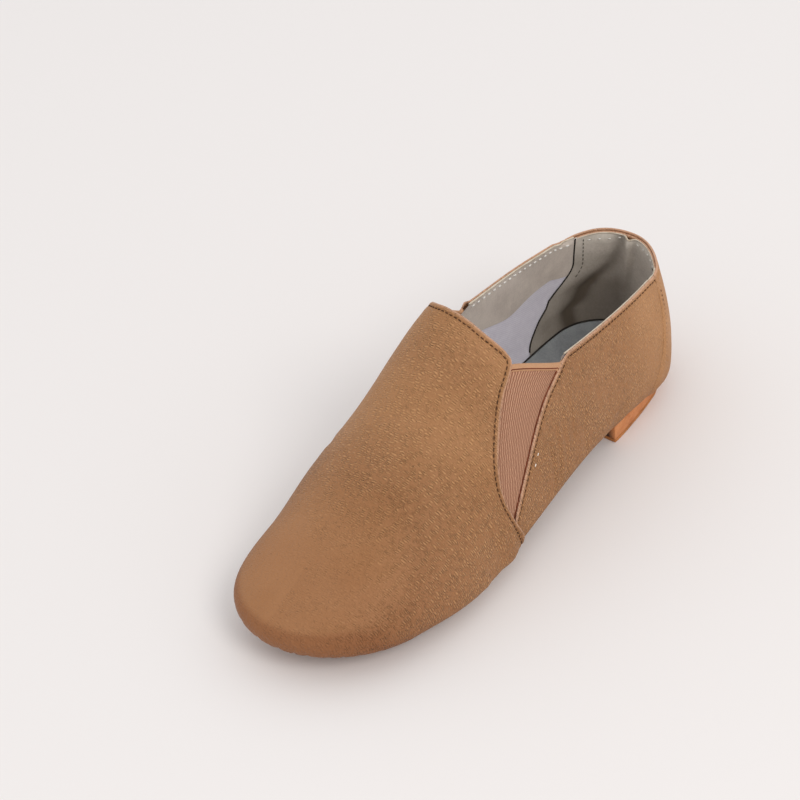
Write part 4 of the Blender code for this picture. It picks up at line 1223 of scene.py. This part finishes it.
# cream cut edges: the quarter linings' just inside the fold, the heel lining's a little lower
for side, tag in sides:
    line = np.linspace(cornerStations[side] - 0.005, 0.715, 90)
    lift = 0.30 * mm + 0.75 * mm * fade(line, 0.90, 0.84)
    places = shell(side, line, topTurn(side, line) - 0.004, lift)
    tubeAlong("liningCutEdge" + tag, places, cordRadius["lining"], creamEdge)
rimSides = []
for side, line in ((1, np.linspace(0.705, 0, 70)), (-1, np.linspace(0, 0.705, 70)[1:])):
    notch = notchAt(side * line)
    turns = topTurn(side, line) - lining["heelDrop"]
    places = shell(side, line, turns, lining["heelRimLift"] - 0.8 * mm * notch)
    places[:, 2] -= lining["notchDepth"] * notch
    rimSides.append(places)
tubeAlong("heelLiningCutEdge", np.concatenate(rimSides), cordRadius["heelLining"], creamEdge)


# Stage, light and camera
print("setting the stage")
stage = {"size": 6.0, "floor": "EEE9E6", "world": "FCFDFF", "worldStrength": 0.89}
key = {"location": (0.58, 2.08, 2.08), "target": (0.09, 0.0, 0.03), "power": 23.0, "size": 1.2,
       "tint": "FFFDFB"}
bm = bmesh.new()
bmesh.ops.create_grid(bm, x_segments=1, y_segments=1, size=stage["size"] / 2)
floorMesh = bpy.data.meshes.new("floor")
bm.to_mesh(floorMesh)
bm.free()
floor = bpy.data.objects.new("floor", floorMesh)
bpy.context.scene.collection.objects.link(floor)
# matt backdrop paper, rolled out flat
floorMaterial, tree, shader = newMaterial("palePaperFloor")
shader.inputs["Base Color"].default_value = colour(stage["floor"])
shader.inputs["Roughness"].default_value = 0.9
shader.inputs["Specular IOR Level"].default_value = 0.1
floorMesh.materials.append(floorMaterial)
floor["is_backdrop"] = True

world = bpy.data.worlds.new("softStudio")
bpy.context.scene.world = world
world.use_nodes = True
world.node_tree.nodes["Background"].inputs["Color"].default_value = colour(stage["world"])
world.node_tree.nodes["Background"].inputs["Strength"].default_value = stage["worldStrength"]

lightData = bpy.data.lights.new("keyLight", "AREA")
lightData.shape, lightData.size, lightData.energy = "DISK", key["size"], key["power"]
lightData.color = colour(key["tint"])[:3]
light = bpy.data.objects.new("keyLight", lightData)
light.location = key["location"]
light.rotation_mode = "QUATERNION"
light.rotation_quaternion = (Vector(key["target"]) - Vector(key["location"])).to_track_quat("-Z", "Y")
bpy.context.scene.collection.objects.link(light)

view = {"azimuth": 135.183, "elevation": 37.813, "roll": -7.243, "distance": 0.934489, "lens": 104.0,
        "target": (0.086936, -0.037861, 0.030)}
azimuth, elevation, roll = radians(view["azimuth"]), radians(view["elevation"]), radians(view["roll"])
back = Vector((sin(azimuth) * cos(elevation), -cos(azimuth) * cos(elevation), sin(elevation)))
level = Vector((cos(azimuth), sin(azimuth), 0))
upright = back.cross(level)
right = cos(roll) * level + sin(roll) * upright
above = cos(roll) * upright - sin(roll) * level
cameraData = bpy.data.cameras.new("camera")
cameraData.lens = view["lens"]
cameraData.sensor_width = 36
cameraData.clip_start = 0.01
camera = bpy.data.objects.new("camera", cameraData)
camera.matrix_world = Matrix.Translation(Vector(view["target"]) + back * view["distance"]) @ Matrix(
    (right, above, back)).transposed().to_4x4()
bpy.context.scene.collection.objects.link(camera)
bpy.context.scene.camera = camera
bpy.context.scene.view_settings.view_transform = "Standard"

low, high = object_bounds()
print("visual box in mm", [round(value * 1000, 1) for value in high - low])
